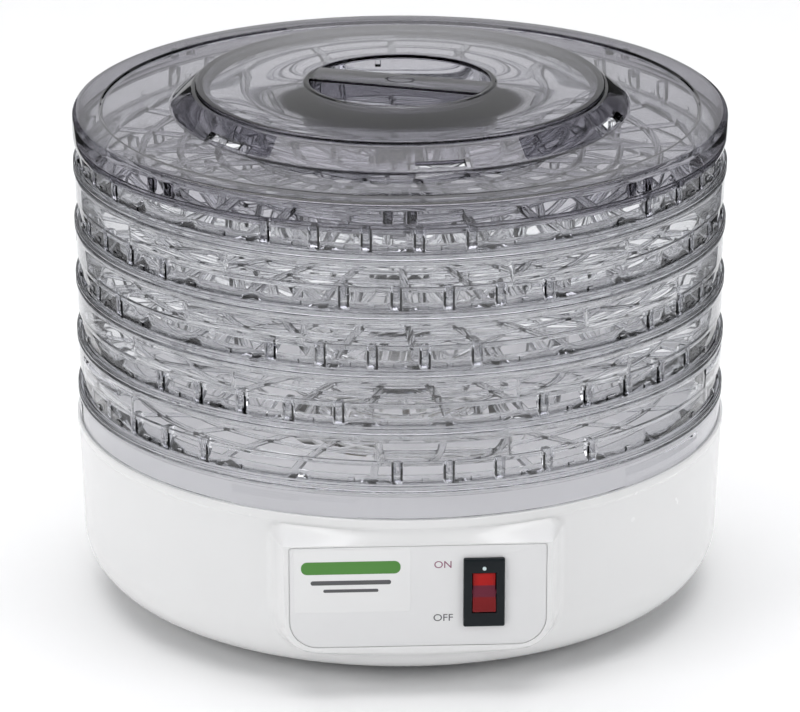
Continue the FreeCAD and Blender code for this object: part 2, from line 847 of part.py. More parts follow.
def bearing_bridge(label, face, bar, outside):
    """Pressed bridge across the rotor bore: two feet on the core and a bar that holds a bush."""
    body = new_body(label)
    front = new_sketch(body, label + "_front", "XZ_Plane")
    reach = S.core_half_width
    corners = [(-reach, face), (-15, face), (-15, bar), (15, bar), (15, face), (reach, face),
               (reach, outside), (-reach, outside)]
    add_outline(front, corners if outside.value > face.value else corners[::-1])
    padded(body, label + "_pad", front, 14.0, midplane=True)
    holes = new_sketch(body, label + "_holes", "XY_Plane", (face + outside) / 2)
    add_circle(holes, 0, 0, S.bush_radius + 0.03, "bush")
    for number, x in enumerate((-S.bolt_across, S.bolt_across)):
        add_circle(holes, x, 0, 1.7, f"bolt{number}")
    pocketed(body, label + "_bores", holes, 20.0, midplane=True)
    return keep(body)


def shaft_bushes():
    """Two bronze bushes that the shaft runs in."""
    bushes = []
    for label, low, high in (("lower_bush", S.core_low - S.bridge_height, S.core_low - 3),
                             ("upper_bush", S.core_high + 3, S.core_high + S.bridge_height)):
        bushes.append(solid_of(label, box_corners(S.shaft_radius + 0.05, S.bush_radius, low, high)))
    return keep(group_of("shaft_bushes", bushes))


def motor_screws():
    """Two long screws that clamp bridges and core to the posts of the bottom plate."""
    screws = []
    for number, x in enumerate((-S.bolt_across, S.bolt_across)):
        top = S.core_high + S.bridge_height
        shank = cylinder(f"motor_shank_{number}", 1.45, top - 8.5, (x, 0, 8.5))
        head = cylinder(f"motor_head_{number}", 2.9, 2.2, (x, 0, top))
        screws.append(combined("Part::Fuse", f"motor_screw_{number}", shank, head))
    return keep(group_of("motor_screws", screws))


def rotor():
    """Motor rotor on the shaft."""
    return keep(solid_of("rotor", box_corners(S.shaft_radius + 0.02, S.rotor_radius,
                                              S.core_low - 1, S.core_high + 1)))


def motor_shaft():
    """Steel shaft through both bushes, up to the fan."""
    return keep(solid_of("motor_shaft", [
        (0, 9.0),
        (S.shaft_radius - 0.3, 9.0),
        (S.shaft_radius, 9.4),
        (S.shaft_radius, S.fan_high + 2.6),
        (S.shaft_radius - 0.3, S.fan_high + 3),
        (0, S.fan_high + 3),
    ]))


def fan_blade():
    """Axial fan: a hub and five pitched blades."""
    body = new_body("fan_blade")
    spun(body, "fan_hub", box_corners(S.shaft_radius + 0.02, S.hub_radius, S.fan_low, S.fan_high))
    root = S.hub_radius - 1
    blade = new_sketch(body, "blade_section", "YZ_Plane", root)
    middle = (S.fan_low + S.fan_high) / 2
    add_outline(blade, [(-11.0, middle - 4), (-10.3, middle - 4), (11.0, middle + 3.3), (11.0, middle + 4),
                        (10.3, middle + 4), (-11.0, middle - 3.3)])
    pad = padded(body, "blade", blade, S.fan_radius - root)
    polar(body, "blades", [pad], [(360, 5)])
    return keep(body)


def fan_clip():
    """Spring washer that keeps the fan on its shaft."""
    section = box_corners(S.shaft_radius + 0.02, 4.0, S.fan_high, S.fan_high + 0.8)
    return keep(solid_of("fan_clip", section))


# ---------------------------------------------------------------- supply inlet

def cord_gland():
    """Bushing in the rear wall that the supply lead would pass through. It stands out as far
    as the rocker does at the front, so that the origin is the middle of the whole."""
    body = solid_of("cord_gland", [
        (S.gland_bore, 150.0),
        (S.gland_shank, 150.0),
        (S.gland_shank, 160.0),
        (8.6, 160.0),
        (8.6, 162.4),
        (6.6, 163.4),
        (5.2, S.panel_front + ROCKER_PROUD),
        (S.gland_bore, S.panel_front + ROCKER_PROUD),
    ])
    place_at(body, (0, 0, S.gland_height), FreeCAD.Rotation(FreeCAD.Vector(1, 0, 0), -90))
    return keep(body)


def gland_nut():
    """Ring that locks the gland from inside."""
    body = solid_of("gland_nut", box_corners(S.gland_shank + 0.05, 9.5, 151.5, 155.0))
    place_at(body, (0, 0, S.gland_height), FreeCAD.Rotation(FreeCAD.Vector(1, 0, 0), -90))
    return keep(body)


def terminal_block():
    """Screw terminal block on the bottom plate behind the motor."""
    low = S.foot_lift + S.cover_thick
    body = new_body("terminal_block")
    front = new_sketch(body, "terminal_front", "XZ_Plane", -S.terminal_back)
    add_outline(front, box_corners(-13, 13, low, low + 11))
    for number in range(3):
        add_circle(front, (number - 1) * 8, low + 5.5, 2.0, f"way{number}")
    padded(body, "terminal_pad", front, 14.0)
    return keep(body)


# ---------------------------------------------------------------- trays

RIB_TURNS = (-98.7, -84.6, -97.7, -121.5, -75.5)


def flange_height(number):
    """Height of a tray's flange; tray 5 stands on the base and tray 1 is on top."""
    return S.rim_height + S.tray_pitch * (5.5 - number)


def tray_wall(number):
    """Clear ring of a tray: a skirt that drops over the tray below, a flange and a ribbed band.
    Heights are from the middle of the flange."""
    label = f"tray_{number}_wall"
    body = new_body(label)
    half = S.tray_pitch / 2
    outer = S.tray_wall
    inner = S.tray_wall - S.tray_thick
    lip = S.tray_wall + S.stack_gap
    spun(body, label + "_ring", [
        (lip, -half - S.tray_overlap),
        (lip + 1.2, -half - S.tray_overlap),
        (lip + 1.5, -2.7),
        (S.tray_flange, -2.7),
        (S.tray_flange, -0.9),
        (S.tray_flange - 0.5, -0.9),
        (S.tray_flange - 0.5, 0.5),
        (S.tray_flange, 0.5),
        (S.tray_flange, 1.8),
        (S.tray_flange - 0.9, 1.8),
        (S.tray_flange - 0.9, 2.7),
        (outer, 2.7),
        (outer, half),
        (inner, half),
        (inner, 0.6),
        (inner - 2.2, 0.6),
        (inner - 2.2, -1.0),
        (outer - 0.9, -2.4),
        (outer - 0.9, -half),
        (lip, -half),
    ])
    fin = new_sketch(body, label + "_fin", "XZ_Plane")
    tip = inner - S.rib_reach
    add_outline(fin, [(inner - 1.0, 3.2), (inner + 0.8, 3.2), (inner + 0.8, half - 0.4), (tip, half - 0.4),
                      (tip, 7.6, 4.6)])
    rib = padded(body, label + "_rib", fin, S.rib_width, midplane=True)
    polar(body, label + "_ribs", [rib], [(36, 5), (360, 5)])
    place_at(body, (0, 0, flange_height(number)), turned_about_z(RIB_TURNS[number - 1] - 18))
    return keep(body)


def tray_floor(number):
    """Open lattice that the food lies on, resting on the ledge inside the tray's ring."""
    label = f"tray_{number}_floor"
    body = new_body(label)
    face = new_sketch(body, label + "_face", "XY_Plane", 0.6)
    radius = S.tray_wall - S.tray_thick - 0.25
    add_circle(face, 0, 0, radius)
    bar = S.lattice_bar.value
    rings = []
    for step in range(7):
        inner = S.first_ring.value + S.lattice_pitch.value * step
        outer = inner + S.lattice_pitch.value - bar
        rings.append((inner, outer, 12 if step < 3 else 24))
    ring_slots(face, rings, bar)
    padded(body, label + "_pad", face, S.floor_thick)
    place_at(body, (0, 0, flange_height(number)), turned_about_z(RIB_TURNS[number - 1] - 18))
    return keep(body)


# ---------------------------------------------------------------- lid and vent dial

LID_TURN = -83.0
GRIP_TURN = -20.0


def tilted_slot(across, up, half_tall, reach):
    """Rectangle square to the crown's slope, as a section that crosses it."""
    slope = (S.crown_top.value - S.crown_foot.value, S.crown_rise.value)
    length = math.hypot(*slope)
    along = (slope[0] / length, slope[1] / length)
    outward = (along[1], -along[0])
    corners = []
    for side, depth in ((-1, -1), (-1, 1), (1, 1), (1, -1)):
        corners.append((across + along[0] * half_tall * side + outward[0] * reach * depth,
                        up + along[1] * half_tall * side + outward[1] * reach * depth))
    return corners


def lid_shell():
    """Smoke-tinted lid: skirt, flat rim, sunk annulus and a sloping crown with six vents."""
    body = new_body("lid_shell")
    seat = S.rim_height + S.tray_pitch * 5
    top = S.lid_top
    foot = top + 0.1
    crown = foot + S.crown_rise
    spun(body, "lid_turned", [
        (S.tray_wall + S.stack_gap, seat - S.tray_overlap),
        (S.lid_radius - 0.5, seat - S.tray_overlap),
        (S.lid_radius, seat + 1),
        (S.lid_radius, top - 3.0, 3.0),
        (S.lid_radius - 3.0, top),
        (S.annulus_radius + 0.6, top),
        (S.annulus_radius - 0.4, top - 1.5),
        (S.crown_foot, foot),
        (S.crown_top, crown),
        (S.dial_radius - 1.1, crown),
        (S.dial_radius - 1.1, crown - 1.4),
        (S.crown_foot - 1.2, foot - 2.1),
        (S.annulus_radius - 0.6, top - 3.6),
        (S.annulus_radius + 1.0, top - 2.1),
        (S.lid_radius - 3.8, top - 2.1, -1.8),
        (S.lid_radius - 2.0, top - 3.9),
        (S.lid_radius - 2.0, seat + 2.2),
        (S.tray_wall - 1.2, seat + 1.4),
        (S.tray_wall - 1.2, seat),
        (S.tray_wall + S.stack_gap, seat),
    ])
    section = tilted_slot(S.crown_foot - 3.2, S.lid_top + 1.5, 1.9, 4.0)
    slot = grooved(body, "vent", section, S.vent_spread)
    polar(body, "vents", [slot], [(360, 6)])
    place_at(body, (0, 0, 0), turned_about_z(LID_TURN))
    return keep(body)


def vent_dial():
    """Round dial with the finger cup and grip bar that lift the lid and turn the shutter."""
    body = new_body("vent_dial")
    top = S.dial_top
    seat = S.lid_top + 0.1 + S.crown_rise
    lip = top + S.cup_lip
    outer = S.cup_radius + 2
    spun(body, "dial_turned", [
        (S.cup_radius, S.cup_floor),
        (outer, S.cup_floor),
        (outer, top - 1.9),
        (S.dial_radius - 3.6, top - 1.9),
        (S.dial_radius - 3.6, seat - 2.4),
        (S.dial_radius - 1.5, seat - 2.4),
        (S.dial_radius - 1.5, seat + 0.2),
        (S.dial_radius, seat + 0.2),
        (S.dial_radius, top - 0.5),
        (S.dial_radius - 0.6, top),
        (outer + 0.5, top),
        (outer, lip),
        (S.cup_radius, lip),
    ])
    bar = new_sketch(body, "grip_plan", "XY_Plane", lip)
    add_outline(bar, box_corners(-(S.cup_radius + 0.3), S.cup_radius + 0.3,
                                 -S.grip_width / 2, S.grip_width / 2))
    padded(body, "grip", bar, 15.0, reverse=True)
    channel = new_sketch(body, "grip_channel", "XY_Plane", lip - 2.2)
    add_outline(channel, box_corners(1.0 - S.cup_radius, S.cup_radius - 1.0,
                                     2 - S.grip_width / 2, S.grip_width / 2 - 2))
    pocketed(body, "grip_hollow", channel, 14.0)
    place_at(body, (0, 0, 0), turned_about_z(GRIP_TURN))
    return keep(body)


def vent_shutter():
    """Ring fixed under the dial, whose windows pass behind the lid's vents."""
    body = new_body("vent_shutter")
    top = S.lid_top + 0.1 + S.crown_rise - 2.4
    spun(body, "shutter_turned", [
        (S.dial_radius - 7.7, top - 1.6),
        (S.dial_radius - 3.1, top - 1.6),
        (S.dial_radius + 8.6, top - 11.5),
        (S.dial_radius + 9.9, top - 10.0),
        (S.dial_radius - 1.8, top),
        (S.dial_radius - 7.7, top),
    ])
    section = tilted_slot(S.crown_foot - 4.9, S.lid_top - 1.6, 3.4, 2.6)
    window = grooved(body, "window", section, S.vent_spread + 4)
    polar(body, "windows", [window], [(360, 6)])
    place_at(body, (0, 0, 0), turned_about_z(LID_TURN))
    return keep(body)


# ---------------------------------------------------------------- assembly

base_housing()
faceplate()
switch_housing()
rocker()
switch_terminals()
pilot_dot()
bottom_plate()
rubber_feet()
base_screws()
deck_plate()
deck_screws()
air_grille()
air_duct()
heater_frame()
heater_coil()
thermostat()
thermal_fuse()
fuse_clip()
motor_core()
motor_coil()
bearing_bridge("lower_bridge", S.core_low, S.core_low - 4, S.core_low - S.bridge_height)
bearing_bridge("upper_bridge", S.core_high, S.core_high + 4, S.core_high + S.bridge_height)
shaft_bushes()
motor_screws()
rotor()
motor_shaft()
fan_blade()
fan_clip()
cord_gland()
gland_nut()
terminal_block()
for tray in range(1, 6):
    tray_wall(tray)
    tray_floor(tray)
lid_shell()
vent_dial()
vent_shutter()

DOC.recompute()

for made in DOC.Objects:
    if "Invalid" in made.State or "Error" in made.State:
        raise RuntimeError(f"{made.Label} did not rebuild: {made.State}")

os.makedirs("parts", exist_ok=True)
for made in PARTS:
    if made.Shape.isNull() or not made.Shape.isValid():
        raise RuntimeError(f"{made.Label} has no valid shape")
for made in PARTS:
    made.Shape.exportStep(f"parts/{made.Label}.step")
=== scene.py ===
import math
import bmesh
import bpy
from mathutils import Matrix, Vector


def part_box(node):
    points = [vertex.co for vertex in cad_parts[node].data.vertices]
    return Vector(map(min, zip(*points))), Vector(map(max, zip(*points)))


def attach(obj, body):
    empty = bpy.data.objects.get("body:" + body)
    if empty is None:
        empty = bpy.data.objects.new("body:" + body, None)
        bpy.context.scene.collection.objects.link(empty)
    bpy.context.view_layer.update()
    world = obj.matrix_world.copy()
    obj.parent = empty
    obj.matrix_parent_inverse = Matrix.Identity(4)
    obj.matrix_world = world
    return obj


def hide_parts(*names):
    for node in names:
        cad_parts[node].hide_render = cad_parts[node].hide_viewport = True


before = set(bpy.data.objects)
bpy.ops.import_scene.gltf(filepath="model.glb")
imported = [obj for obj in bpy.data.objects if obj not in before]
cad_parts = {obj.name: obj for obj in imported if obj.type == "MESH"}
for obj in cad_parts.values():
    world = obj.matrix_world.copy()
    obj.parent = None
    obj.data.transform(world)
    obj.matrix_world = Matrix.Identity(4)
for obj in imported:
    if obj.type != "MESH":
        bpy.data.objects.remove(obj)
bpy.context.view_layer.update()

# ---- Base housing ---------------------------------------------------------------------------
# One injection moulding in gloss white ABS: a bowl that stands on rubber feet, with a rim that
# takes the lowest tray. Its front swells into a flat boss that carries the control panel, and
# the swelling fades softly into the round side.

mm = 0.001
housing_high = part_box("base_housing")[1]
bowl_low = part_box("base_bowl")[0]
boss_low_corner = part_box("panel_boss")[0]
rim_height = housing_high.z / mm
bowl_bottom = bowl_low.z / mm
bowl_radius = housing_high.x / mm
panel_front = -boss_low_corner.y / mm
bowl_steps = 540
wall_skin = 2.6
shoulder_radius, shoulder_height = 159.0, 30.0
plate_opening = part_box("bottom_plate")[1].x / mm + 0.3
deck_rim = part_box("deck_plate")[1].x / mm
deck_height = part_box("deck_plate")[0].z / mm
boss_half, boss_low, boss_high, boss_corner, boss_fade = 62.5, 26.5, 80.2, 15.0, 8.5
shelf_radius = 150.0
gland_height = 40.0


def arc_points(start, end, radius, count):
    """Points along the short arc between two corners, its centre to the left of the way."""
    start, end = Vector(start), Vector(end)
    chord = end - start
    rise = math.sqrt(radius * radius - chord.length_squared / 4)
    centre = (start + end) / 2 + Vector((-chord.y, chord.x)).normalized() * rise
    first = math.atan2(start.y - centre.y, start.x - centre.x)
    last = math.atan2(end.y - centre.y, end.x - centre.x)
    if last < first:
        last += 2 * math.pi
    turns = [first + (last - first) * step / count for step in range(count + 1)]
    return [(centre.x + radius * math.cos(turn), centre.y + radius * math.sin(turn)) for turn in turns]


def turned(corners, steps, cuts=()):
    """Spins a closed outline of (radius, height) or (radius, height, rounding) corners, in mm.
    Each cut is (low, high, number): steep edges between those heights are divided."""
    bm = bmesh.new()
    verts = [bm.verts.new((corner[0] * mm, 0, corner[1] * mm)) for corner in corners]
    bm.faces.new(verts)
    for rounding in sorted({corner[2] for corner in corners if len(corner) == 3}):
        chosen = [vert for vert, corner in zip(verts, corners) if corner[2:] == (rounding,)]
        bmesh.ops.bevel(bm, geom=chosen, offset=rounding * mm, offset_type="OFFSET", affect="VERTICES",
                        segments=4, profile=0.5, material=-1)
    bmesh.ops.delete(bm, geom=bm.faces[:], context="FACES_ONLY")
    for low, high, number in cuts:
        steep = [edge for edge in bm.edges
                 if min(vert.co.z for vert in edge.verts) >= low * mm - 1e-6
                 and max(vert.co.z for vert in edge.verts) <= high * mm + 1e-6
                 and abs(edge.verts[0].co.z - edge.verts[1].co.z) > 0.4 * (high - low) * mm]
        bmesh.ops.subdivide_edges(bm, edges=steep, cuts=number)
    sectors = 12
    bmesh.ops.spin(bm, geom=bm.verts[:] + bm.edges[:], cent=(0, 0, 0), axis=(0, 0, 1), dvec=(0, 0, 0),
                   angle=2 * math.pi / sectors, steps=steps // sectors)
    sector = bpy.data.meshes.new("sector")
    bm.to_mesh(sector)
    for _ in range(sectors - 1):
        sector.transform(Matrix.Rotation(2 * math.pi / sectors, 4, "Z"))
        bm.from_mesh(sector)
    bmesh.ops.remove_doubles(bm, verts=bm.verts[:], dist=1e-6)
    bmesh.ops.recalc_face_normals(bm, faces=bm.faces[:])
    return bm


def shade(mesh, sharp):
    """Smooth faces, with a crease wherever two faces meet more sharply than the angle given."""
    bm = bmesh.new()
    bm.from_mesh(mesh)
    for face in bm.faces:
        face.smooth = True
    for edge in bm.edges:
        edge.smooth = edge.calc_face_angle(0.0) < math.radians(sharp)
    bm.to_mesh(mesh)
    bm.free()


def piece(bm, name, sharp=35):
    """The bmesh as an object of its own, shaded and linked to the scene."""
    mesh = bpy.data.meshes.new(name)
    bm.to_mesh(mesh)
    bm.free()
    shade(mesh, sharp)
    made = bpy.data.objects.new(name, mesh)
    bpy.context.scene.collection.objects.link(made)
    return made


def applied(made):
    """Makes an object's modifiers, or its curve or text, into plain mesh."""
    bpy.context.view_layer.update()
    mesh = bpy.data.meshes.new_from_object(made.evaluated_get(bpy.context.evaluated_depsgraph_get()))
    mesh.name = made.name
    return mesh


def joined_with(made, tools, operation, sharp=35):
    """Boolean of a piece with tools that stand clear of each other and are used up."""
    together = bmesh.new()
    for tool in tools:
        together.from_mesh(tool.data)
        bpy.data.objects.remove(tool)
    tool = piece(together, "tools")
    step = made.modifiers.new("join", "BOOLEAN")
    step.object = tool
    step.operation = operation
    step.solver = "EXACT"
    mesh = applied(made)
    made.modifiers.clear()
    made.data = mesh
    bpy.data.objects.remove(tool)
    shade(mesh, sharp)
    return made


def finish_as(made, body, slot, material, *nodes):
    """Gives a piece its material and body, and hides the CAD nodes that it stands for. The slot is not used.
    """
    made.data.materials.clear()
    made.data.materials.append(material)
    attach(made, body)
    if nodes:
        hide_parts(*nodes)
    return made


def shader_group(name, inputs, outputs):
    """A new node group; each input is (name, socket type, value) and each output (name, type)."""
    group = bpy.data.node_groups.new(name, "ShaderNodeTree")
    for label, kind, value in inputs:
        socket = group.interface.new_socket(label, in_out="INPUT", socket_type=kind)
        socket.default_value = value
    for label, kind in outputs:
        group.interface.new_socket(label, in_out="OUTPUT", socket_type=kind)
    return group


def wire(tree, source, target):
    """Links two sockets, each given as (node, socket name or number)."""
    tree.links.new(source[0].outputs[source[1]], target[0].inputs[target[1]])


def node(tree, kind, **settings):
    """A new node with some of its properties set."""
    made = tree.nodes.new(kind)
    for key, value in settings.items():
        setattr(made, key, value)
    return made


def moulded_group():
    """The skin of a moulding: faint cloudy tone, uneven gloss and a very fine orange peel."""
    tree = shader_group(
        "moulded_skin",
        [("Colour", "NodeSocketColor", (0.8, 0.8, 0.8, 1)), ("Cloud", "NodeSocketFloat", 0.04),
         ("Gloss Low", "NodeSocketFloat", 0.22), ("Gloss High", "NodeSocketFloat", 0.34),
         ("Grain Scale", "NodeSocketFloat", 900.0), ("Grain Height", "NodeSocketFloat", 0.00002)],
        [("Colour", "NodeSocketColor"), ("Roughness", "NodeSocketFloat"), ("Normal", "NodeSocketVector")])
    given = node(tree, "NodeGroupInput")
    out = node(tree, "NodeGroupOutput")
    place = node(tree, "ShaderNodeTexCoord")
    cloud = node(tree, "ShaderNodeTexNoise")
    cloud.inputs["Scale"].default_value = 14.0
    cloud.inputs["Detail"].default_value = 4.0
    wire(tree, (place, "Object"), (cloud, "Vector"))
    darker = node(tree, "ShaderNodeMath", operation="MULTIPLY")
    wire(tree, (cloud, "Fac"), (darker, 0))
    wire(tree, (given, "Cloud"), (darker, 1))
    tone = node(tree, "ShaderNodeMix", data_type="RGBA", blend_type="MULTIPLY")
    tone.inputs["B"].default_value = (0.0, 0.0, 0.0, 1)
    wire(tree, (darker, 0), (tone, "Factor"))
    wire(tree, (given, "Colour"), (tone, "A"))
    wire(tree, (tone, "Result"), (out, "Colour"))
    smear = node(tree, "ShaderNodeTexNoise")
    smear.inputs["Scale"].default_value = 60.0
    smear.inputs["Detail"].default_value = 3.0
    wire(tree, (place, "Object"), (smear, "Vector"))
    gloss = node(tree, "ShaderNodeMapRange")
    wire(tree, (smear, "Fac"), (gloss, "Value"))
    wire(tree, (given, "Gloss Low"), (gloss, "To Min"))
    wire(tree, (given, "Gloss High"), (gloss, "To Max"))
    wire(tree, (gloss, "Result"), (out, "Roughness"))
    grain = node(tree, "ShaderNodeTexNoise")
    grain.inputs["Detail"].default_value = 2.0
    wire(tree, (place, "Object"), (grain, "Vector"))
    wire(tree, (given, "Grain Scale"), (grain, "Scale"))
    bump = node(tree, "ShaderNodeBump")
    bump.inputs["Strength"].default_value = 0.5
    wire(tree, (grain, "Fac"), (bump, "Height"))
    wire(tree, (given, "Grain Height"), (bump, "Distance"))
    wire(tree, (bump, "Normal"), (out, "Normal"))
    return tree


moulded_skin = moulded_group()


def surface(name, colour, gloss, cloud=0.04, grain=900.0, height=0.00002, **shader):
    """A Principled material over the moulded skin; extra sockets are named with underscores."""
    material = bpy.data.materials.new(name)
    material.use_nodes = True
    tree = material.node_tree
    principled = tree.nodes["Principled BSDF"]
    skin = node(tree, "ShaderNodeGroup", node_tree=moulded_skin)
    skin.inputs["Colour"].default_value = (*colour, 1)
    skin.inputs["Cloud"].default_value = cloud
    skin.inputs["Gloss Low"].default_value = gloss[0]
    skin.inputs["Gloss High"].default_value = gloss[1]
    skin.inputs["Grain Scale"].default_value = grain
    skin.inputs["Grain Height"].default_value = height
    wire(tree, (skin, "Colour"), (principled, "Base Color"))
    wire(tree, (skin, "Roughness"), (principled, "Roughness"))
    wire(tree, (skin, "Normal"), (principled, "Normal"))
    for label, value in shader.items():
        principled.inputs[label.replace("_", " ")].default_value = value
    return material


def boss_distance(across, height):
    """How far a point of the front view lies outside the flat of the boss, in mm."""
    side = abs(across) - boss_half
    above = height - boss_high
    if above > 0:
        above *= boss_fade / 5.0
        return math.hypot(max(side, 0.0), above), above
    inner_side = side + boss_corner
    below = boss_low + boss_corner - height
    if inner_side > 0 and below > 0:
        return max(math.hypot(inner_side, below) - boss_corner, 0.0), 0.0
    return max(side, boss_low - height, 0.0), 0.0


def boss_share(across, height):
    """1 on the flat of the boss, fading to 0 on the round side; the top edge stays crisp."""
    outside, above = boss_distance(across, height)
    if outside >= boss_fade:
        return 0.0
    part = outside / boss_fade
    soft = 1 - part * part * (3 - 2 * part)
    crisp = 1 - part
    weight = (above / outside) ** 2 if outside > 0 else 0.0
    return soft * (1 - weight) + crisp * weight


def box_tool(low, high, name="tool"):
    """A plain block between two corners in mm, used only to cut or join."""
    bm = bmesh.new()
    bmesh.ops.create_cube(bm, size=1)
    size = Vector(high) - Vector(low)
    middle = (Vector(high) + Vector(low)) / 2
    bmesh.ops.scale(bm, vec=size * mm, verts=bm.verts)
    bmesh.ops.translate(bm, vec=middle * mm, verts=bm.verts)
    return piece(bm, name)


def rod_tool(radius, start, end, name="tool", segments=48):
    """A plain rod between two points in mm, used only to cut or join."""
    start, end = Vector(start), Vector(end)
    way = end - start
    bm = bmesh.new()
    bmesh.ops.create_cone(bm, cap_ends=True, segments=segments, radius1=radius * mm, radius2=radius * mm,
                          depth=way.length * mm)
    turn = Vector((0, 0, 1)).rotation_difference(way).to_matrix()
    bmesh.ops.rotate(bm, cent=(0, 0, 0), matrix=turn, verts=bm.verts)
    bmesh.ops.translate(bm, vec=(start + end) / 2 * mm, verts=bm.verts)
    return piece(bm, name)


def plate(width, low, high, low_corner, high_corner, back, front, middle=0.0, soft=0.25):
    """An upright plate facing -Y, its outline rounded at the corners and its front edge eased."""
    bm = bmesh.new()
    left, right = middle - width / 2, middle + width / 2
    verts = [bm.verts.new((x * mm, -back * mm, z * mm))
             for x, z in ((left, low), (right, low), (right, high), (left, high))]
    bm.faces.new(verts)
    for corner, chosen in ((low_corner, verts[:2]), (high_corner, verts[2:])):
        bmesh.ops.bevel(bm, geom=chosen, offset=corner * mm, offset_type="OFFSET", affect="VERTICES",
                        segments=10, profile=0.5, material=-1)
    made = bmesh.ops.extrude_face_region(bm, geom=bm.faces[:])
    moved = [item for item in made["geom"] if isinstance(item, bmesh.types.BMVert)]
    bmesh.ops.translate(bm, vec=(0, (back - front) * mm, 0), verts=moved)
    bmesh.ops.recalc_face_normals(bm, faces=bm.faces[:])
    if soft:
        rim = [edge for edge in bm.edges if all(abs(vert.co.y + front * mm) < 1e-6 for vert in edge.verts)]
        bmesh.ops.bevel(bm, geom=rim, offset=soft * mm, offset_type="OFFSET", affect="EDGES", segments=2,
                        profile=0.5, material=-1)
    return bm


panel_low, panel_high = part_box("faceplate")
panel_width = (panel_high.x - panel_low.x) / mm
panel_bottom, panel_top = panel_low.z / mm, panel_high.z / mm
panel_back = -panel_high.y / mm
switch_low, switch_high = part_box("switch_housing")
switch_middle = (switch_low.x + switch_high.x) / 2 / mm
switch_height = (switch_low.z + switch_high.z) / 2 / mm
hole_half_width, hole_half_height = 8.4, 14.8

haunch_centre_radius, haunch_centre_height = 132.47, 33.0
haunch_outer, haunch_inner = 26.7, 24.1
housing_outline = [(plate_opening, bowl_bottom), (plate_opening + 13, bowl_bottom)]
housing_outline += arc_points((118.0, bowl_bottom), (143.0, 8.5), 98.0, 8)[1:]
housing_outline += arc_points((143.0, 8.5), (shoulder_radius, shoulder_height), haunch_outer, 16)[1:]
housing_outline += [
    (bowl_radius - 0.55, rim_height - 4.6, 0.5),
    (bowl_radius, rim_height - 3.9, 0.4),
    (bowl_radius, rim_height, 0.6),
    (bowl_radius - 1.3, rim_height, 0.4),
    (bowl_radius - 1.3, rim_height - 2.5, 0.3),
    (deck_rim + 0.3, rim_height - 2.5, 0.3),
    (deck_rim + 0.3, deck_height),
    (shelf_radius, deck_height, 0.5),
    (shelf_radius, deck_height - 2.5),
    (shoulder_radius - 0.8, deck_height - 8.5),
]
inner_arc = arc_points((141.9, 10.8), (shoulder_radius - wall_skin, shoulder_height), haunch_inner, 10)
housing_outline += inner_arc[::-1]
housing_outline += [(128.0, 6.5), (plate_opening - 7, 6.5), (plate_opening - 7, 4.0), (plate_opening, 4.0)]

housing_mesh = turned(housing_outline, bowl_steps, [(shoulder_height, rim_height - 4.2, 36),
                                                    (shoulder_height, deck_height - 8.5, 18)])


def wall_side(radius, height):
    """1 for the housing's outer skin, -1 for its inner skin, 0 for the shelf and the rim."""
    if height < shoulder_height:
        reach = math.hypot(radius - haunch_centre_radius, height - haunch_centre_height)
        return 0 if height < 8 else 1 if reach > (haunch_outer + haunch_inner) / 2 else -1
    if radius > shoulder_radius - 0.05 and height < rim_height - 5:
        return 1
    return -1 if height < deck_height - 8 else 0


for vert in housing_mesh.verts:
    x, y, z = vert.co / mm
    share = boss_share(x, z) if y < 0 else 0.0
    skin = wall_side(math.hypot(x, y), z)
    if share > 0 and skin:
        front = -panel_front if skin > 0 else wall_skin - panel_front
        vert.co.y += (front * mm - vert.co.y) * share
housing = piece(housing_mesh, "housing")

panel_recess = piece(plate(panel_width + 0.7, panel_bottom - 0.35, panel_top + 0.35, 14.0, 1.5,
                           panel_back, panel_front + 4, soft=0), "recess")
hole_left, hole_right = switch_middle - hole_half_width, switch_middle + hole_half_width
hole_low, hole_high = switch_height - hole_half_height, switch_height + hole_half_height
switch_hole = box_tool((hole_left, -panel_back - 0.4, hole_low), (hole_right, -panel_front + 8, hole_high))
joined_with(panel_recess, [switch_hole], "UNION")
gland_bore = rod_tool(6.3, (0, 140, gland_height), (0, 172, gland_height))
joined_with(housing, [panel_recess, gland_bore], "DIFFERENCE")

white_gloss = surface("white_gloss", (0.90, 0.90, 0.895), (0.20, 0.30), cloud=0.03, Coat_Weight=0.25,
                      Coat_Roughness=0.12)
finish_as(housing, "base", "white_gloss", white_gloss, "base_housing", "base_bowl",
          "panel_boss")


# ---- Underside: cover, feet and screws ------------------------------------------------------
# A matt black cover with air slots closes the bowl from below. Soft rubber feet are pushed
# through it and four zinc-plated screws hold it to the housing.

def dress(material, *nodes):
    """Puts a material on CAD nodes that stay as they are."""
    for name in nodes:
        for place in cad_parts[name].material_slots:
            place.material = material


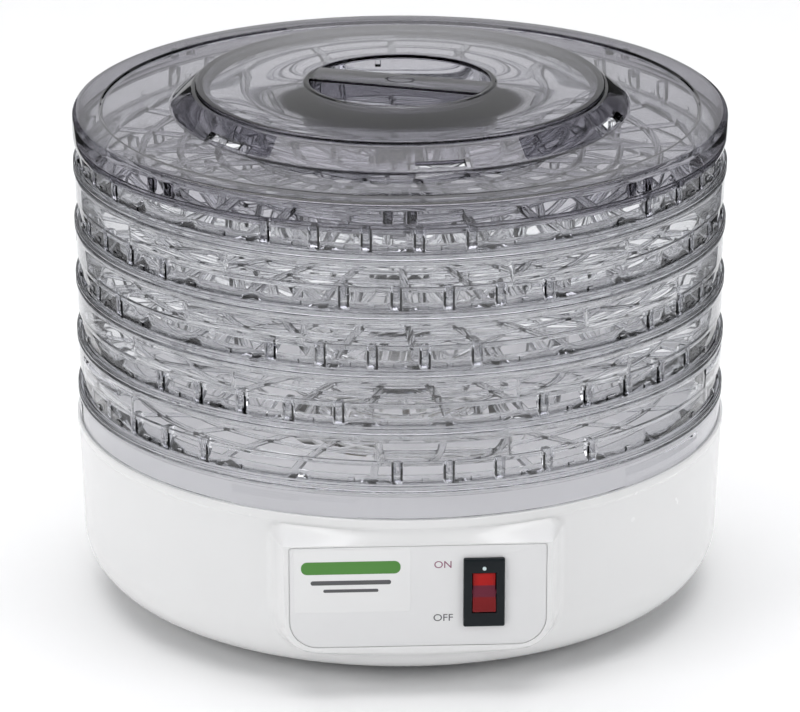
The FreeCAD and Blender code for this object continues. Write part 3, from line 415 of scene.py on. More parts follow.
def metal_group():
    """Sheet or turned metal: fine streaks along one way, dull patches and uneven gloss."""
    tree = shader_group(
        "worked_metal",
        [("Colour", "NodeSocketColor", (0.6, 0.6, 0.6, 1)),
         ("Dull Colour", "NodeSocketColor", (0.4, 0.4, 0.4, 1)),
         ("Streaks", "NodeSocketFloat", 300.0), ("Gloss Low", "NodeSocketFloat", 0.25),
         ("Gloss High", "NodeSocketFloat", 0.45)],
        [("Colour", "NodeSocketColor"), ("Roughness", "NodeSocketFloat"), ("Normal", "NodeSocketVector")])
    given = node(tree, "NodeGroupInput")
    out = node(tree, "NodeGroupOutput")
    place = node(tree, "ShaderNodeTexCoord")
    stretch = node(tree, "ShaderNodeMapping")
    stretch.inputs["Scale"].default_value = (1.0, 1.0, 14.0)
    wire(tree, (place, "Object"), (stretch, "Vector"))
    streak = node(tree, "ShaderNodeTexNoise")
    streak.inputs["Detail"].default_value = 3.0
    wire(tree, (stretch, "Vector"), (streak, "Vector"))
    wire(tree, (given, "Streaks"), (streak, "Scale"))
    patch = node(tree, "ShaderNodeTexNoise")
    patch.inputs["Scale"].default_value = 70.0
    patch.inputs["Detail"].default_value = 5.0
    wire(tree, (place, "Object"), (patch, "Vector"))
    tone = node(tree, "ShaderNodeMix", data_type="RGBA")
    wire(tree, (patch, "Fac"), (tone, "Factor"))
    wire(tree, (given, "Colour"), (tone, "A"))
    wire(tree, (given, "Dull Colour"), (tone, "B"))
    wire(tree, (tone, "Result"), (out, "Colour"))
    gloss = node(tree, "ShaderNodeMapRange")
    wire(tree, (streak, "Fac"), (gloss, "Value"))
    wire(tree, (given, "Gloss Low"), (gloss, "To Min"))
    wire(tree, (given, "Gloss High"), (gloss, "To Max"))
    wire(tree, (gloss, "Result"), (out, "Roughness"))
    bump = node(tree, "ShaderNodeBump")
    bump.inputs["Strength"].default_value = 0.4
    bump.inputs["Distance"].default_value = 0.00003
    wire(tree, (streak, "Fac"), (bump, "Height"))
    wire(tree, (bump, "Normal"), (out, "Normal"))
    return tree


worked_metal = metal_group()


def metal(name, colour, dull, gloss, streaks=300.0):
    """A metal finish over the worked metal group."""
    material = bpy.data.materials.new(name)
    material.use_nodes = True
    tree = material.node_tree
    principled = tree.nodes["Principled BSDF"]
    principled.inputs["Metallic"].default_value = 1.0
    skin = node(tree, "ShaderNodeGroup", node_tree=worked_metal)
    skin.inputs["Colour"].default_value = (*colour, 1)
    skin.inputs["Dull Colour"].default_value = (*dull, 1)
    skin.inputs["Streaks"].default_value = streaks
    skin.inputs["Gloss Low"].default_value = gloss[0]
    skin.inputs["Gloss High"].default_value = gloss[1]
    wire(tree, (skin, "Colour"), (principled, "Base Color"))
    wire(tree, (skin, "Roughness"), (principled, "Roughness"))
    wire(tree, (skin, "Normal"), (principled, "Normal"))
    return material


matt_black = surface("matt_black", (0.020, 0.020, 0.021), (0.45, 0.62), cloud=0.2, grain=500.0,
                     height=0.00006)
zinc_steel = metal("zinc_steel", (0.62, 0.61, 0.58), (0.50, 0.50, 0.50), (0.28, 0.45))
dress(matt_black, "bottom_plate")
foot_rubber = surface("foot_rubber", (0.055, 0.055, 0.056), (0.70, 0.88), cloud=0.3, grain=700.0,
                      height=0.00008)
dress(foot_rubber, "rubber_feet")
dress(zinc_steel, "base_screws")


# ---- Deck and air grille --------------------------------------------------------------------
# A satin white deck closes the top of the base and carries the lowest tray on its upstanding
# rim. The guard over the outlet is a separate moulding of the same heat-resistant plastic.

deck_white = surface("deck_white", (0.80, 0.80, 0.79), (0.42, 0.55), cloud=0.06, grain=700.0,
                     height=0.00004)
dress(deck_white, "deck_plate", "air_grille")
dress(zinc_steel, "deck_screws")


# ---- Control panel --------------------------------------------------------------------------
# A thin satin plate lies in a recess of the boss. It carries a printed sticker at the left and
# the two switch words, all flat ink on white.

faceplate = piece(plate(panel_width, panel_bottom, panel_top, 13.7, 1.2, panel_back, panel_front - 0.1),
                  "faceplate_panel")
plate_hole = box_tool((hole_left, -panel_front - 2, hole_low), (hole_right, -panel_front + 2, hole_high))
joined_with(faceplate, [plate_hole], "DIFFERENCE")
panel_white = surface("panel_white", (0.87, 0.87, 0.87), (0.30, 0.42), cloud=0.03, grain=1500.0)
finish_as(faceplate, "base", "label_white", panel_white, "faceplate")

sticker_width, sticker_low, sticker_high, sticker_middle = 55.1, 46.0, 78.0, -31.2
sticker = piece(plate(sticker_width, sticker_low, sticker_high, 1.2, 1.2, panel_front - 0.2,
                      panel_front + 0.06, sticker_middle, soft=0.05), "panel_sticker")
sticker_film = surface("sticker_film", (0.92, 0.92, 0.915), (0.16, 0.24), cloud=0.02, grain=1200.0,
                       Coat_Weight=0.4, Coat_Roughness=0.08)
finish_as(sticker, "base", "label_white", sticker_film)


def ink(name, colour):
    """Screen-printed ink: flat colour with slightly uneven cover."""
    return surface(name, colour, (0.35, 0.5), cloud=0.18, grain=2500.0)


leaf_green = ink("green_ink", (0.09, 0.30, 0.045))
slate_grey = ink("grey_ink", (0.11, 0.11, 0.115))
mauve_ink = ink("mauve_ink", (0.34, 0.12, 0.20))


def printed_bar(name, middle, width, low, high, colour):
    """A plain rounded bar of ink on the sticker."""
    made = piece(plate(width, low, high, (high - low) * 0.45, (high - low) * 0.45, panel_front + 0.05,
                       panel_front + 0.10, middle, soft=0), name)
    return finish_as(made, "base", "label_white", colour)


printed_bar("badge_bar", -31.8, 47.0, 65.4, 71.8, leaf_green)
printed_bar("badge_line_upper", -31.8, 38.0, 60.0, 62.2, slate_grey)
printed_bar("badge_line_lower", -31.8, 26.0, 56.2, 57.8, slate_grey)


def printed_word(text, name, middle, height, tall, wide, colour):
    """Sans-serif capitals printed on the plate, set to the width and height given in mm."""
    curve = bpy.data.curves.new(name, "FONT")
    curve.body = text
    curve.size = 0.01
    curve.extrude = 0.0005
    written = bpy.data.objects.new(name, curve)
    bpy.context.scene.collection.objects.link(written)
    mesh = applied(written)
    bpy.data.objects.remove(written)
    low = Vector([min(vert.co[axis] for vert in mesh.vertices) for axis in range(3)])
    high = Vector([max(vert.co[axis] for vert in mesh.vertices) for axis in range(3)])
    size, centre = high - low, (high + low) / 2
    bm = bmesh.new()
    bm.from_mesh(mesh)
    bmesh.ops.translate(bm, vec=-centre, verts=bm.verts)
    bmesh.ops.scale(bm, vec=(wide * mm / size.x, tall * mm / size.y, 0.06 * mm / size.z), verts=bm.verts)
    bmesh.ops.rotate(bm, cent=(0, 0, 0), matrix=Matrix.Rotation(math.radians(90), 3, "X"), verts=bm.verts)
    bmesh.ops.translate(bm, vec=(middle * mm, -(panel_front - 0.08) * mm, height * mm), verts=bm.verts)
    bmesh.ops.remove_doubles(bm, verts=bm.verts[:], dist=1e-7)
    return finish_as(piece(bm, name), "base", "label_white", colour)


printed_word("ON", "word_on", 11.7, 69.4, 3.5, 8.1, mauve_ink)
printed_word("OFF", "word_off", 11.9, 42.3, 3.5, 9.2, slate_grey)


# ---- Rocker switch --------------------------------------------------------------------------
# A black snap-in case with a bevelled bezel, and a translucent red rocker that turns on two
# pins inside it. The upper end is pressed in, which is the on position.

bezel_front = -switch_low.y / mm
bezel_width = (switch_high.x - switch_low.x) / mm
bezel_tall = (switch_high.z - switch_low.z) / mm
rocker_width, rocker_reach, rocker_proud = 11.0, 9.8, 3.6

case = piece(plate(bezel_width, switch_height - bezel_tall / 2, switch_height + bezel_tall / 2, 0.9, 0.9,
                   panel_front, bezel_front, switch_middle, soft=0.8), "switch_case")
case_body = box_tool((hole_left + 0.2, -panel_front - 0.5, hole_low + 0.2),
                     (hole_right - 0.2, -panel_front + 20, hole_high - 0.2))
joined_with(case, [case_body], "UNION")
case_well = box_tool((switch_middle - 5.8, -bezel_front - 1, switch_height - 10.2),
                     (switch_middle + 5.8, -bezel_front + 15, switch_height + 10.2))
joined_with(case, [case_well], "DIFFERENCE")
pin_bore = rod_tool(1.55, (switch_middle - 7.5, -panel_front, switch_height),
                    (switch_middle + 7.5, -panel_front, switch_height))
joined_with(case, [pin_bore], "DIFFERENCE")
gloss_black = surface("gloss_black", (0.008, 0.012, 0.015), (0.28, 0.40), cloud=0.15, grain=1100.0,
                      height=0.00004, Specular_IOR_Level=0.2)
finish_as(case, "base", "black_plastic", gloss_black, "switch_housing")

side = [(-0.8, 9.7), (-0.8, 3.4), (-rocker_proud, -9.1)]
side += arc_points((-rocker_proud, -9.1), (rocker_proud, -9.1), rocker_reach, 6)[1:-1]
side += arc_points((rocker_proud, -9.1), (rocker_proud, 9.1), rocker_reach, 16)
side += arc_points((rocker_proud, 9.1), (-0.8, 9.76), rocker_reach, 4)[1:-1]
bm = bmesh.new()
left = (switch_middle - rocker_width / 2) * mm
verts = [bm.verts.new((left, (y - panel_front) * mm, (z + switch_height) * mm)) for y, z in side]
bm.faces.new(verts)
drawn = bmesh.ops.extrude_face_region(bm, geom=bm.faces[:])
bmesh.ops.translate(bm, vec=(rocker_width * mm, 0, 0),
                    verts=[item for item in drawn["geom"] if isinstance(item, bmesh.types.BMVert)])
bmesh.ops.recalc_face_normals(bm, faces=bm.faces[:])
creases = [edge for edge in bm.edges if edge.calc_face_angle(0) > math.radians(30)
           and all(vert.co.y < (0.5 - panel_front) * mm for vert in edge.verts)
           and abs(edge.verts[0].co.z + edge.verts[1].co.z - 2 * (switch_height + 3.4) * mm) > 0.1 * mm]
bmesh.ops.bevel(bm, geom=creases, offset=0.45 * mm, offset_type="OFFSET", affect="EDGES", segments=3,
                profile=0.5, material=-1)
rocker = piece(bm, "rocker_button", 40)
pins = rod_tool(1.5, (switch_middle - 7, -panel_front, switch_height),
                (switch_middle + 7, -panel_front, switch_height))
joined_with(rocker, [pins], "UNION", 40)

red_lens = surface("red_lens", (0.5, 0.01, 0.01), (0.20, 0.32), cloud=0.1, Specular_IOR_Level=0.2)
tree = red_lens.node_tree
place = node(tree, "ShaderNodeTexCoord")
split = node(tree, "ShaderNodeSeparateXYZ")
wire(tree, (place, "Object"), (split, "Vector"))
height = node(tree, "ShaderNodeMapRange")
height.inputs["From Min"].default_value = (switch_height - 10) * mm
height.inputs["From Max"].default_value = (switch_height + 10) * mm
wire(tree, (split, "Z"), (height, "Value"))
# Painted light by height on the rocker: the bright red above the crease is a painted glow, the pinkish band
# just below it is a painted reflection, and the dark red at the bottom is the lens's own colour.
glow_and_sheen_bands = node(tree, "ShaderNodeValToRGB")
glow_and_sheen_bands.color_ramp.elements[0].position = 0.0
glow_and_sheen_bands.color_ramp.elements[0].color = (0.20, 0.006, 0.008, 1)
glow_and_sheen_bands.color_ramp.elements[1].position = 0.38
glow_and_sheen_bands.color_ramp.elements[1].color = (0.23, 0.008, 0.010, 1)
for position, colour in ((0.41, (0.15, 0.018, 0.040, 1)), (0.66, (0.17, 0.018, 0.040, 1)),
                         (0.68, (0.50, 0.008, 0.008, 1)), (1.0, (0.60, 0.014, 0.012, 1))):
    glow_and_sheen_bands.color_ramp.elements.new(position).color = colour
wire(tree, (height, "Result"), (glow_and_sheen_bands, "Fac"))
wire(tree, (glow_and_sheen_bands, "Color"), (tree.nodes["Group"], "Colour"))
finish_as(rocker, "rocker", "red_rocker", red_lens, "rocker")
dress(surface("pale_dot", (0.70, 0.84, 0.84), (0.4, 0.5)), "pilot_dot")
dress(zinc_steel, "switch_terminals")


# ---- Supply inlet ---------------------------------------------------------------------------
# A black nylon bushing snaps into the back wall and a ring nut locks it from inside. The cream
# terminal block stands on the cover behind the motor.

gland_nylon = surface("gland_nylon", (0.016, 0.016, 0.017), (0.38, 0.52), cloud=0.2, grain=600.0,
                      height=0.00005)
dress(gland_nylon, "cord_gland", "gland_nut")
cream_nylon = surface("cream_nylon", (0.62, 0.58, 0.47), (0.45, 0.6), cloud=0.12, grain=500.0,
                      height=0.00005)
dress(cream_nylon, "terminal_block", "fuse_clip")


# ---- Motor, fan and heater ------------------------------------------------------------------
# A shaded-pole motor turns a nylon fan under two rings of coiled resistance wire, which hang in
# crossed mica boards inside a sheet-steel duct.

dress(metal("galvanised", (0.66, 0.67, 0.68), (0.46, 0.48, 0.50), (0.30, 0.55), 90.0), "air_duct")
mica_board = surface("mica_board", (0.42, 0.33, 0.20), (0.45, 0.65), cloud=0.45, grain=240.0,
                     height=0.00008)
dress(mica_board, "heater_frame")
dress(zinc_steel, "thermostat", "thermal_fuse", "lower_bridge", "upper_bridge", "motor_screws",
      "motor_shaft", "fan_clip")
dress(metal("bronze", (0.60, 0.40, 0.18), (0.38, 0.24, 0.10), (0.35, 0.55)), "shaft_bushes")
dress(surface("natural_nylon", (0.66, 0.64, 0.57), (0.38, 0.5), cloud=0.08), "fan_blade")


def layered(name, colour, gap, pitch, metallic, gloss):
    """Fine level layers, as of stamped sheets or wound wire, darker in the gaps."""
    material = bpy.data.materials.new(name)
    material.use_nodes = True
    tree = material.node_tree
    principled = tree.nodes["Principled BSDF"]
    principled.inputs["Metallic"].default_value = metallic
    place = node(tree, "ShaderNodeTexCoord")
    layers = node(tree, "ShaderNodeTexWave", bands_direction="Z")
    layers.inputs["Scale"].default_value = 1.0 / (3.18 * pitch * mm)
    layers.inputs["Distortion"].default_value = 0.4
    layers.inputs["Detail"].default_value = 1.0
    wire(tree, (place, "Object"), (layers, "Vector"))
    tone = node(tree, "ShaderNodeMix", data_type="RGBA")
    tone.inputs["A"].default_value = (*gap, 1)
    tone.inputs["B"].default_value = (*colour, 1)
    wire(tree, (layers, "Fac"), (tone, "Factor"))
    wire(tree, (tone, "Result"), (principled, "Base Color"))
    principled.inputs["Roughness"].default_value = gloss
    bump = node(tree, "ShaderNodeBump")
    bump.inputs["Distance"].default_value = 0.0001
    wire(tree, (layers, "Fac"), (bump, "Height"))
    wire(tree, (bump, "Normal"), (principled, "Normal"))
    return material


dress(layered("laminations", (0.24, 0.24, 0.26), (0.07, 0.06, 0.06), 0.5, 0.9, 0.45), "motor_core", "rotor")
dress(layered("winding", (0.50, 0.20, 0.07), (0.12, 0.04, 0.02), 0.4, 0.6, 0.35), "motor_coil")


def coiled_wire(ring, turns):
    """One ring of coiled resistance wire, as a tube along a helix closed on itself."""
    curve = bpy.data.curves.new("wire", "CURVE")
    curve.dimensions = "3D"
    curve.bevel_depth = 0.35 * mm
    curve.bevel_resolution = 1
    spline = curve.splines.new("POLY")
    count = turns * 12
    spline.points.add(count - 1)
    for step, point in enumerate(spline.points):
        along = 2 * math.pi * step / count
        around = 2 * math.pi * step / 12
        radius = ring + 2.8 * math.cos(around)
        point.co = (radius * math.cos(along) * mm, radius * math.sin(along) * mm,
                    (heater_height + 2.8 * math.sin(around)) * mm, 1)
    spline.use_cyclic_u = True
    made = bpy.data.objects.new("wire", curve)
    bpy.context.scene.collection.objects.link(made)
    mesh = applied(made)
    bpy.data.objects.remove(made)
    return mesh


heater_low, heater_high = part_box("heater_coil")
heater_height = (heater_low.z + heater_high.z) / 2 / mm
bm = bmesh.new()
for ring, turns in ((30.0, 76), (46.0, 116)):
    bm.from_mesh(coiled_wire(ring, turns))
heater_wire = metal("heater_wire", (0.30, 0.27, 0.25), (0.16, 0.13, 0.12), (0.4, 0.6))
finish_as(piece(bm, "heater_wires"), "base", "heater_wire", heater_wire, "heater_coil")


# ---- Trays ----------------------------------------------------------------------------------
# Five alike trays in clear, faintly grey polystyrene: a skirt that drops over the tray below, a
# flange with a fine groove, a band stiffened by five groups of upright ribs, and an open lattice.

tray_steps = 600
tray_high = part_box("tray_1_wall")[1]
tray_pitch = (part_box("tray_4_wall")[0].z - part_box("tray_5_wall")[0].z) / mm
half_pitch = tray_pitch / 2
band_outer, band_inner, skirt_inner, flange_edge = 158.5, 156.3, 157.6, tray_high.x / mm
rib_reach, rib_low, rib_top = 4.5, 3.2, half_pitch - 0.4
rib_group_turns = (-98.7, -84.6, -97.7, -121.5, -75.5)

tray_outline = [
    (158.8, -16.35, 0.3), (160.0, -16.35, 0.5), (160.05, -14.2), (160.26, -4.4), (160.3, -2.7, 0.3),
    (flange_edge, -2.7, 0.45), (flange_edge, -0.9, 0.3), (160.45, -0.9, 0.15), (160.45, 0.5, 0.15),
    (flange_edge, 0.5, 0.3), (flange_edge, 1.8, 0.5), (160.1, 1.8, 0.2), (160.1, 2.7, 0.4),
    (band_outer, 2.7, 0.2), (band_outer, 3.5), (band_outer, 6.1), (band_outer, half_pitch, 0.6),
    (band_inner, half_pitch, 0.25), (band_inner, rib_top), (band_inner, 7.6), (band_inner, 5.0),
    (band_inner, rib_low), (band_inner, 0.6, 0.3),
    (154.1, 0.6, 0.5), (154.1, -1.0, 0.5), (skirt_inner, -2.4, 0.6), (skirt_inner, -14.35), (158.8, -14.35),
]
tray_mesh = turned(tray_outline, tray_steps)


def turn_of(face):
    """Degrees about Z of a face's middle."""
    middle = face.calc_center_median()
    return math.degrees(math.atan2(middle.y, middle.x))


def within(face, low, high, centre, spread):
    """True for a face between two heights in mm whose middle is near a turn."""
    if not face.is_valid:
        return False
    middle = face.calc_center_median()
    return (low * mm < middle.z < high * mm
            and abs((turn_of(face) - centre + 180) % 360 - 180) < spread)


def radius_of(face):
    middle = face.calc_center_median()
    return math.hypot(middle.x, middle.y) / mm


def upright(faces, low, high):
    return [face for face in faces if low < radius_of(face) < high and abs(face.normal.z) < 0.5]


inner_band = [face for face in upright(tray_mesh.faces, band_inner - 0.2, band_inner + 0.2)
              if rib_low * mm < face.calc_center_median().z < rib_top * mm]
outer_band = [face for face in upright(tray_mesh.faces, band_outer - 0.2, band_outer + 0.2)
              if 3.6 * mm < face.calc_center_median().z < 6.0 * mm]
outer_skirt = [face for face in upright(tray_mesh.faces, 159.9, 160.4)
               if -14.2 * mm < face.calc_center_median().z < -4.4 * mm]
for group in range(5):
    for rib in range(-2, 3):
        centre = 72 * group + 9 * rib
        chosen = [face for face in inner_band if within(face, rib_low, rib_top, centre, 0.6)]
        drawn = bmesh.ops.extrude_face_region(tray_mesh, geom=chosen)
        inward = -Vector((math.cos(math.radians(centre)), math.sin(math.radians(centre)), 0))
        for vert in [item for item in drawn["geom"] if isinstance(item, bmesh.types.BMVert)]:
            height = vert.co.z / mm
            share = 0.25 if height < rib_low + 0.1 else 0.72 if height < 5.1 else 1.0
            vert.co += inward * rib_reach * share * mm
    for nub in (-26.0, -13.0, -4.5, 4.5, 13.0, 26.0):
        centre = 72 * group + nub
        chosen = [face for face in outer_band if within(face, 3.6, 6.0, centre, 0.61)]
        if chosen:
            bmesh.ops.inset_region(tray_mesh, faces=chosen, thickness=0.35 * mm, depth=0.9 * mm,
                                   use_boundary=True, use_even_offset=True)
    centre = 72 * group + 36
    chosen = [face for face in outer_skirt if within(face, -14.2, -4.4, centre, 11.4)]
    bmesh.ops.inset_region(tray_mesh, faces=chosen, thickness=0.5 * mm, depth=0.35 * mm, use_boundary=True,
                           use_even_offset=True)
bmesh.ops.recalc_face_normals(tray_mesh, faces=tray_mesh.faces[:])


def clear_group():
    """Clear moulding: a tint that drifts a little, hairline gloss changes and soft flow waves."""
    tree = shader_group(
        "clear_moulding",
        [("Tint", "NodeSocketColor", (0.9, 0.9, 0.9, 1)),
         ("Deep Tint", "NodeSocketColor", (0.8, 0.8, 0.8, 1)),
         ("Gloss Low", "NodeSocketFloat", 0.0), ("Gloss High", "NodeSocketFloat", 0.06),
         ("Wave Height", "NodeSocketFloat", 0.00005)],
        [("Colour", "NodeSocketColor"), ("Roughness", "NodeSocketFloat"), ("Normal", "NodeSocketVector")])
    given = node(tree, "NodeGroupInput")
    out = node(tree, "NodeGroupOutput")
    place = node(tree, "ShaderNodeTexCoord")
    drift = node(tree, "ShaderNodeTexNoise")
    drift.inputs["Scale"].default_value = 9.0
    wire(tree, (place, "Object"), (drift, "Vector"))
    tone = node(tree, "ShaderNodeMix", data_type="RGBA")
    wire(tree, (drift, "Fac"), (tone, "Factor"))
    wire(tree, (given, "Tint"), (tone, "A"))
    wire(tree, (given, "Deep Tint"), (tone, "B"))
    wire(tree, (tone, "Result"), (out, "Colour"))
    hairlines = node(tree, "ShaderNodeTexNoise")
    hairlines.inputs["Scale"].default_value = 160.0
    hairlines.inputs["Detail"].default_value = 5.0
    wire(tree, (place, "Object"), (hairlines, "Vector"))
    gloss = node(tree, "ShaderNodeMapRange")
    gloss.inputs["From Min"].default_value = 0.45
    gloss.inputs["From Max"].default_value = 0.8
    wire(tree, (hairlines, "Fac"), (gloss, "Value"))
    wire(tree, (given, "Gloss Low"), (gloss, "To Min"))
    wire(tree, (given, "Gloss High"), (gloss, "To Max"))
    wire(tree, (gloss, "Result"), (out, "Roughness"))
    waves = node(tree, "ShaderNodeTexNoise")
    waves.inputs["Scale"].default_value = 45.0
    waves.inputs["Detail"].default_value = 1.0
    wire(tree, (place, "Object"), (waves, "Vector"))
    bump = node(tree, "ShaderNodeBump")
    bump.inputs["Strength"].default_value = 0.6
    wire(tree, (waves, "Fac"), (bump, "Height"))
    wire(tree, (given, "Wave Height"), (bump, "Distance"))
    wire(tree, (bump, "Normal"), (out, "Normal"))
    return tree


clear_moulding = clear_group()


def clear_plastic(name, tint, deep, edge_on_shade, gloss, wave, shade_tint, smoke, density):
    """Clear plastic that darkens with the length of the way through it, and with painted shade
    where it is seen along its skin; its shadow is only tinted."""
    material = bpy.data.materials.new(name)
    material.use_nodes = True
    tree = material.node_tree
    principled = tree.nodes["Principled BSDF"]
    principled.inputs["Transmission Weight"].default_value = 1.0
    principled.inputs["IOR"].default_value = 1.49
    skin = node(tree, "ShaderNodeGroup", node_tree=clear_moulding)
    skin.inputs["Tint"].default_value = (*tint, 1)
    skin.inputs["Deep Tint"].default_value = (*deep, 1)
    skin.inputs["Gloss Low"].default_value = gloss[0]
    skin.inputs["Gloss High"].default_value = gloss[1]
    skin.inputs["Wave Height"].default_value = wave
    # Painted shade: where the plastic is seen edge-on its colour is pulled towards the edge-on shade colour,
    # standing in for the dark edges of the clear parts.
    slant = node(tree, "ShaderNodeLayerWeight")
    slant.inputs["Blend"].default_value = 0.5
    edge_on = node(tree, "ShaderNodeMapRange")
    edge_on.inputs["From Min"].default_value = 0.72
    edge_on.inputs["From Max"].default_value = 0.96
    wire(tree, (slant, "Facing"), (edge_on, "Value"))
    darker = node(tree, "ShaderNodeMix", data_type="RGBA")
    darker.inputs["B"].default_value = (*edge_on_shade, 1)
    wire(tree, (edge_on, "Result"), (darker, "Factor"))
    wire(tree, (skin, "Colour"), (darker, "A"))
    wire(tree, (darker, "Result"), (principled, "Base Color"))
    wire(tree, (skin, "Roughness"), (principled, "Roughness"))
    wire(tree, (skin, "Normal"), (principled, "Normal"))
    through = node(tree, "ShaderNodeBsdfTransparent")
    through.inputs["Color"].default_value = (*shade_tint, 1)
    light = node(tree, "ShaderNodeLightPath")
    mix = node(tree, "ShaderNodeMixShader")
    wire(tree, (light, "Is Shadow Ray"), (mix, "Fac"))
    wire(tree, (principled, "BSDF"), (mix, 1))
    wire(tree, (through, "BSDF"), (mix, 2))
    out = tree.nodes["Material Output"]
    wire(tree, (mix, "Shader"), (out, "Surface"))
    body = node(tree, "ShaderNodeVolumeAbsorption")
    body.inputs["Color"].default_value = (*smoke, 1)
    body.inputs["Density"].default_value = density
    wire(tree, (body, "Volume"), (out, "Volume"))
    return material


# The third colour is the painted shade where the tray plastic is seen edge-on.
tray_clear = clear_plastic("tray_clear", (0.975, 0.977, 0.98), (0.95, 0.953, 0.958), (0.48, 0.49, 0.53),
                           (0.0, 0.06), 0.00003, (0.94, 0.94, 0.943), (0.43, 0.45, 0.52), 34.0)

lattice_radius, lattice_pitch, lattice_bar, lattice_first = 156.05, 19.0, 2.6, 15.0


def lattice_sheet():
    """The tray's floor: seven rings of windows between bars, cut from one flat disc."""
    curve = bpy.data.curves.new("lattice", "CURVE")
    curve.dimensions = "2D"
    curve.fill_mode = "BOTH"
    curve.extrude = 0.75 * mm
    curve.bevel_depth = 0.25 * mm
    curve.bevel_resolution = 1

    def outline(corners):
        spline = curve.splines.new("POLY")
        spline.points.add(len(corners) - 1)
        for point, (radius, turn) in zip(spline.points, corners):
            point.co = (radius * math.cos(turn) * mm, radius * math.sin(turn) * mm, 0, 1)
        spline.use_cyclic_u = True

    outline([(lattice_radius - 0.25, math.radians(3 * step)) for step in range(120)])
    for ring in range(7):
        low = lattice_first + lattice_pitch * ring + 0.25
        high = low + lattice_pitch - lattice_bar - 0.5
        count = 12 if ring < 3 else 24
        for window in range(count):
            middle = 2 * math.pi * window / count
            half_low = math.pi / count - (lattice_bar / 2 + 0.25) / low
            half_high = math.pi / count - (lattice_bar / 2 + 0.25) / high
            steps = 6 if count == 12 else 4
            shares = [2 * step / steps - 1 for step in range(steps + 1)]
            outline([(low, middle + half_low * share) for share in shares]
                    + [(high, middle - half_high * share) for share in shares])
    made = bpy.data.objects.new("lattice", curve)
    bpy.context.scene.collection.objects.link(made)
    mesh = applied(made)
    bpy.data.objects.remove(made)
    bm = bmesh.new()
    bm.from_mesh(mesh)
    bmesh.ops.remove_doubles(bm, verts=bm.verts[:], dist=1e-6)
    bmesh.ops.recalc_face_normals(bm, faces=bm.faces[:])
    return bm


lattice_mesh = lattice_sheet()
for number, group_turn in enumerate(rib_group_turns, start=1):
    lift = (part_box(f"tray_{number}_wall")[0].z / mm + 16.35) * mm
    turn = Matrix.Rotation(math.radians(group_turn), 3, "Z")
    wall_mesh = tray_mesh.copy()
    bmesh.ops.rotate(wall_mesh, cent=(0, 0, 0), matrix=turn, verts=wall_mesh.verts)
    bmesh.ops.translate(wall_mesh, vec=(0, 0, lift), verts=wall_mesh.verts)
    finish_as(piece(wall_mesh, f"tray_{number}_ring"), f"tray_{number}", "clear_tray", tray_clear,
              f"tray_{number}_wall")
    floor_mesh = lattice_mesh.copy()
    bmesh.ops.rotate(floor_mesh, cent=(0, 0, 0), matrix=turn, verts=floor_mesh.verts)
    bmesh.ops.translate(floor_mesh, vec=(0, 0, lift + 1.65 * mm), verts=floor_mesh.verts)
    finish_as(piece(floor_mesh, f"tray_{number}_lattice"), f"tray_{number}", "clear_tray", tray_clear,
              f"tray_{number}_floor")


# ---- Lid ------------------------------------------------------------------------------------
# One smoke-tinted moulding: a short skirt, a rounded rim, a sunk flat ring and a sloping crown
# with six long vents. Eight pairs of small tabs under the rim centre it on the top tray.

lid_steps = 720
lid_low, lid_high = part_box("lid_shell")
skirt_trim = 0.03
lid_edge, lid_bottom = lid_high.x / mm, lid_low.z / mm + skirt_trim
rim_top = lid_high.z / mm - 9.5
crown_foot, crown_top = (112.8, rim_top + 0.1), (102.2, rim_top + 9.5)
lid_outline = [
    (158.8, lid_bottom, 0.3), (lid_edge - 0.5, lid_bottom, 0.4), (lid_edge, lid_bottom + 3, 1.0),
    (lid_edge, rim_top, 3.0), (147.6, rim_top, 0.5), (146.6, rim_top - 1.5, 0.5),
    (*crown_foot, 0.9),
    (*crown_top, 0.9), (99.6, rim_top + 9.5, 0.3), (99.6, rim_top + 8.1, 0.3),
    (111.6, rim_top - 2.0, 0.9), (146.4, rim_top - 3.6, 0.6), (148.0, rim_top - 2.1, 0.6),
    (159.0, rim_top - 2.1, 1.8), (159.0, rim_top - 4.6), (159.0, rim_top - 10.2), (159.0, rim_top - 10.8),
    (157.3, rim_top - 11.6, 0.3), (157.3, rim_top - 13.0), (158.8, rim_top - 13.0),
]
lid_mesh = turned(lid_outline, lid_steps)
skirt_faces = [face for face in upright(lid_mesh.faces, 158.8, 159.2)
               if (rim_top - 10.2) * mm < face.calc_center_median().z < (rim_top - 4.6) * mm]
for post in range(8):
    for side in (-1.85, 1.85):
        centre = -93 + 45 * post + side
        chosen = [face for face in skirt_faces
                  if within(face, rim_top - 10.2, rim_top - 4.6, centre, 0.55)]
        drawn = bmesh.ops.extrude_face_region(lid_mesh, geom=chosen)
        inward = -Vector((math.cos(math.radians(centre)), math.sin(math.radians(centre)), 0))
        bmesh.ops.translate(lid_mesh, vec=inward * 2.4 * mm,
                            verts=[item for item in drawn["geom"] if isinstance(item, bmesh.types.BMVert)])
bmesh.ops.recalc_face_normals(lid_mesh, faces=lid_mesh.faces[:])
lid = piece(lid_mesh, "lid_moulding")


def swept_block(corners, middle, spread):
    """A rounded section swept round Z through a spread of degrees about a middle turn."""
    bm = bmesh.new()
    verts = [bm.verts.new((radius * mm, 0, height * mm)) for radius, height in corners]
    bm.faces.new(verts)
    start = Matrix.Rotation(math.radians(middle - spread / 2), 3, "Z")
    bmesh.ops.rotate(bm, cent=(0, 0, 0), matrix=start, verts=bm.verts)
    bmesh.ops.spin(bm, geom=bm.verts[:] + bm.edges[:] + bm.faces[:], cent=(0, 0, 0), axis=(0, 0, 1),
                   dvec=(0, 0, 0), angle=math.radians(spread), steps=14)
    bmesh.ops.recalc_face_normals(bm, faces=bm.faces[:])
    return piece(bm, "block")


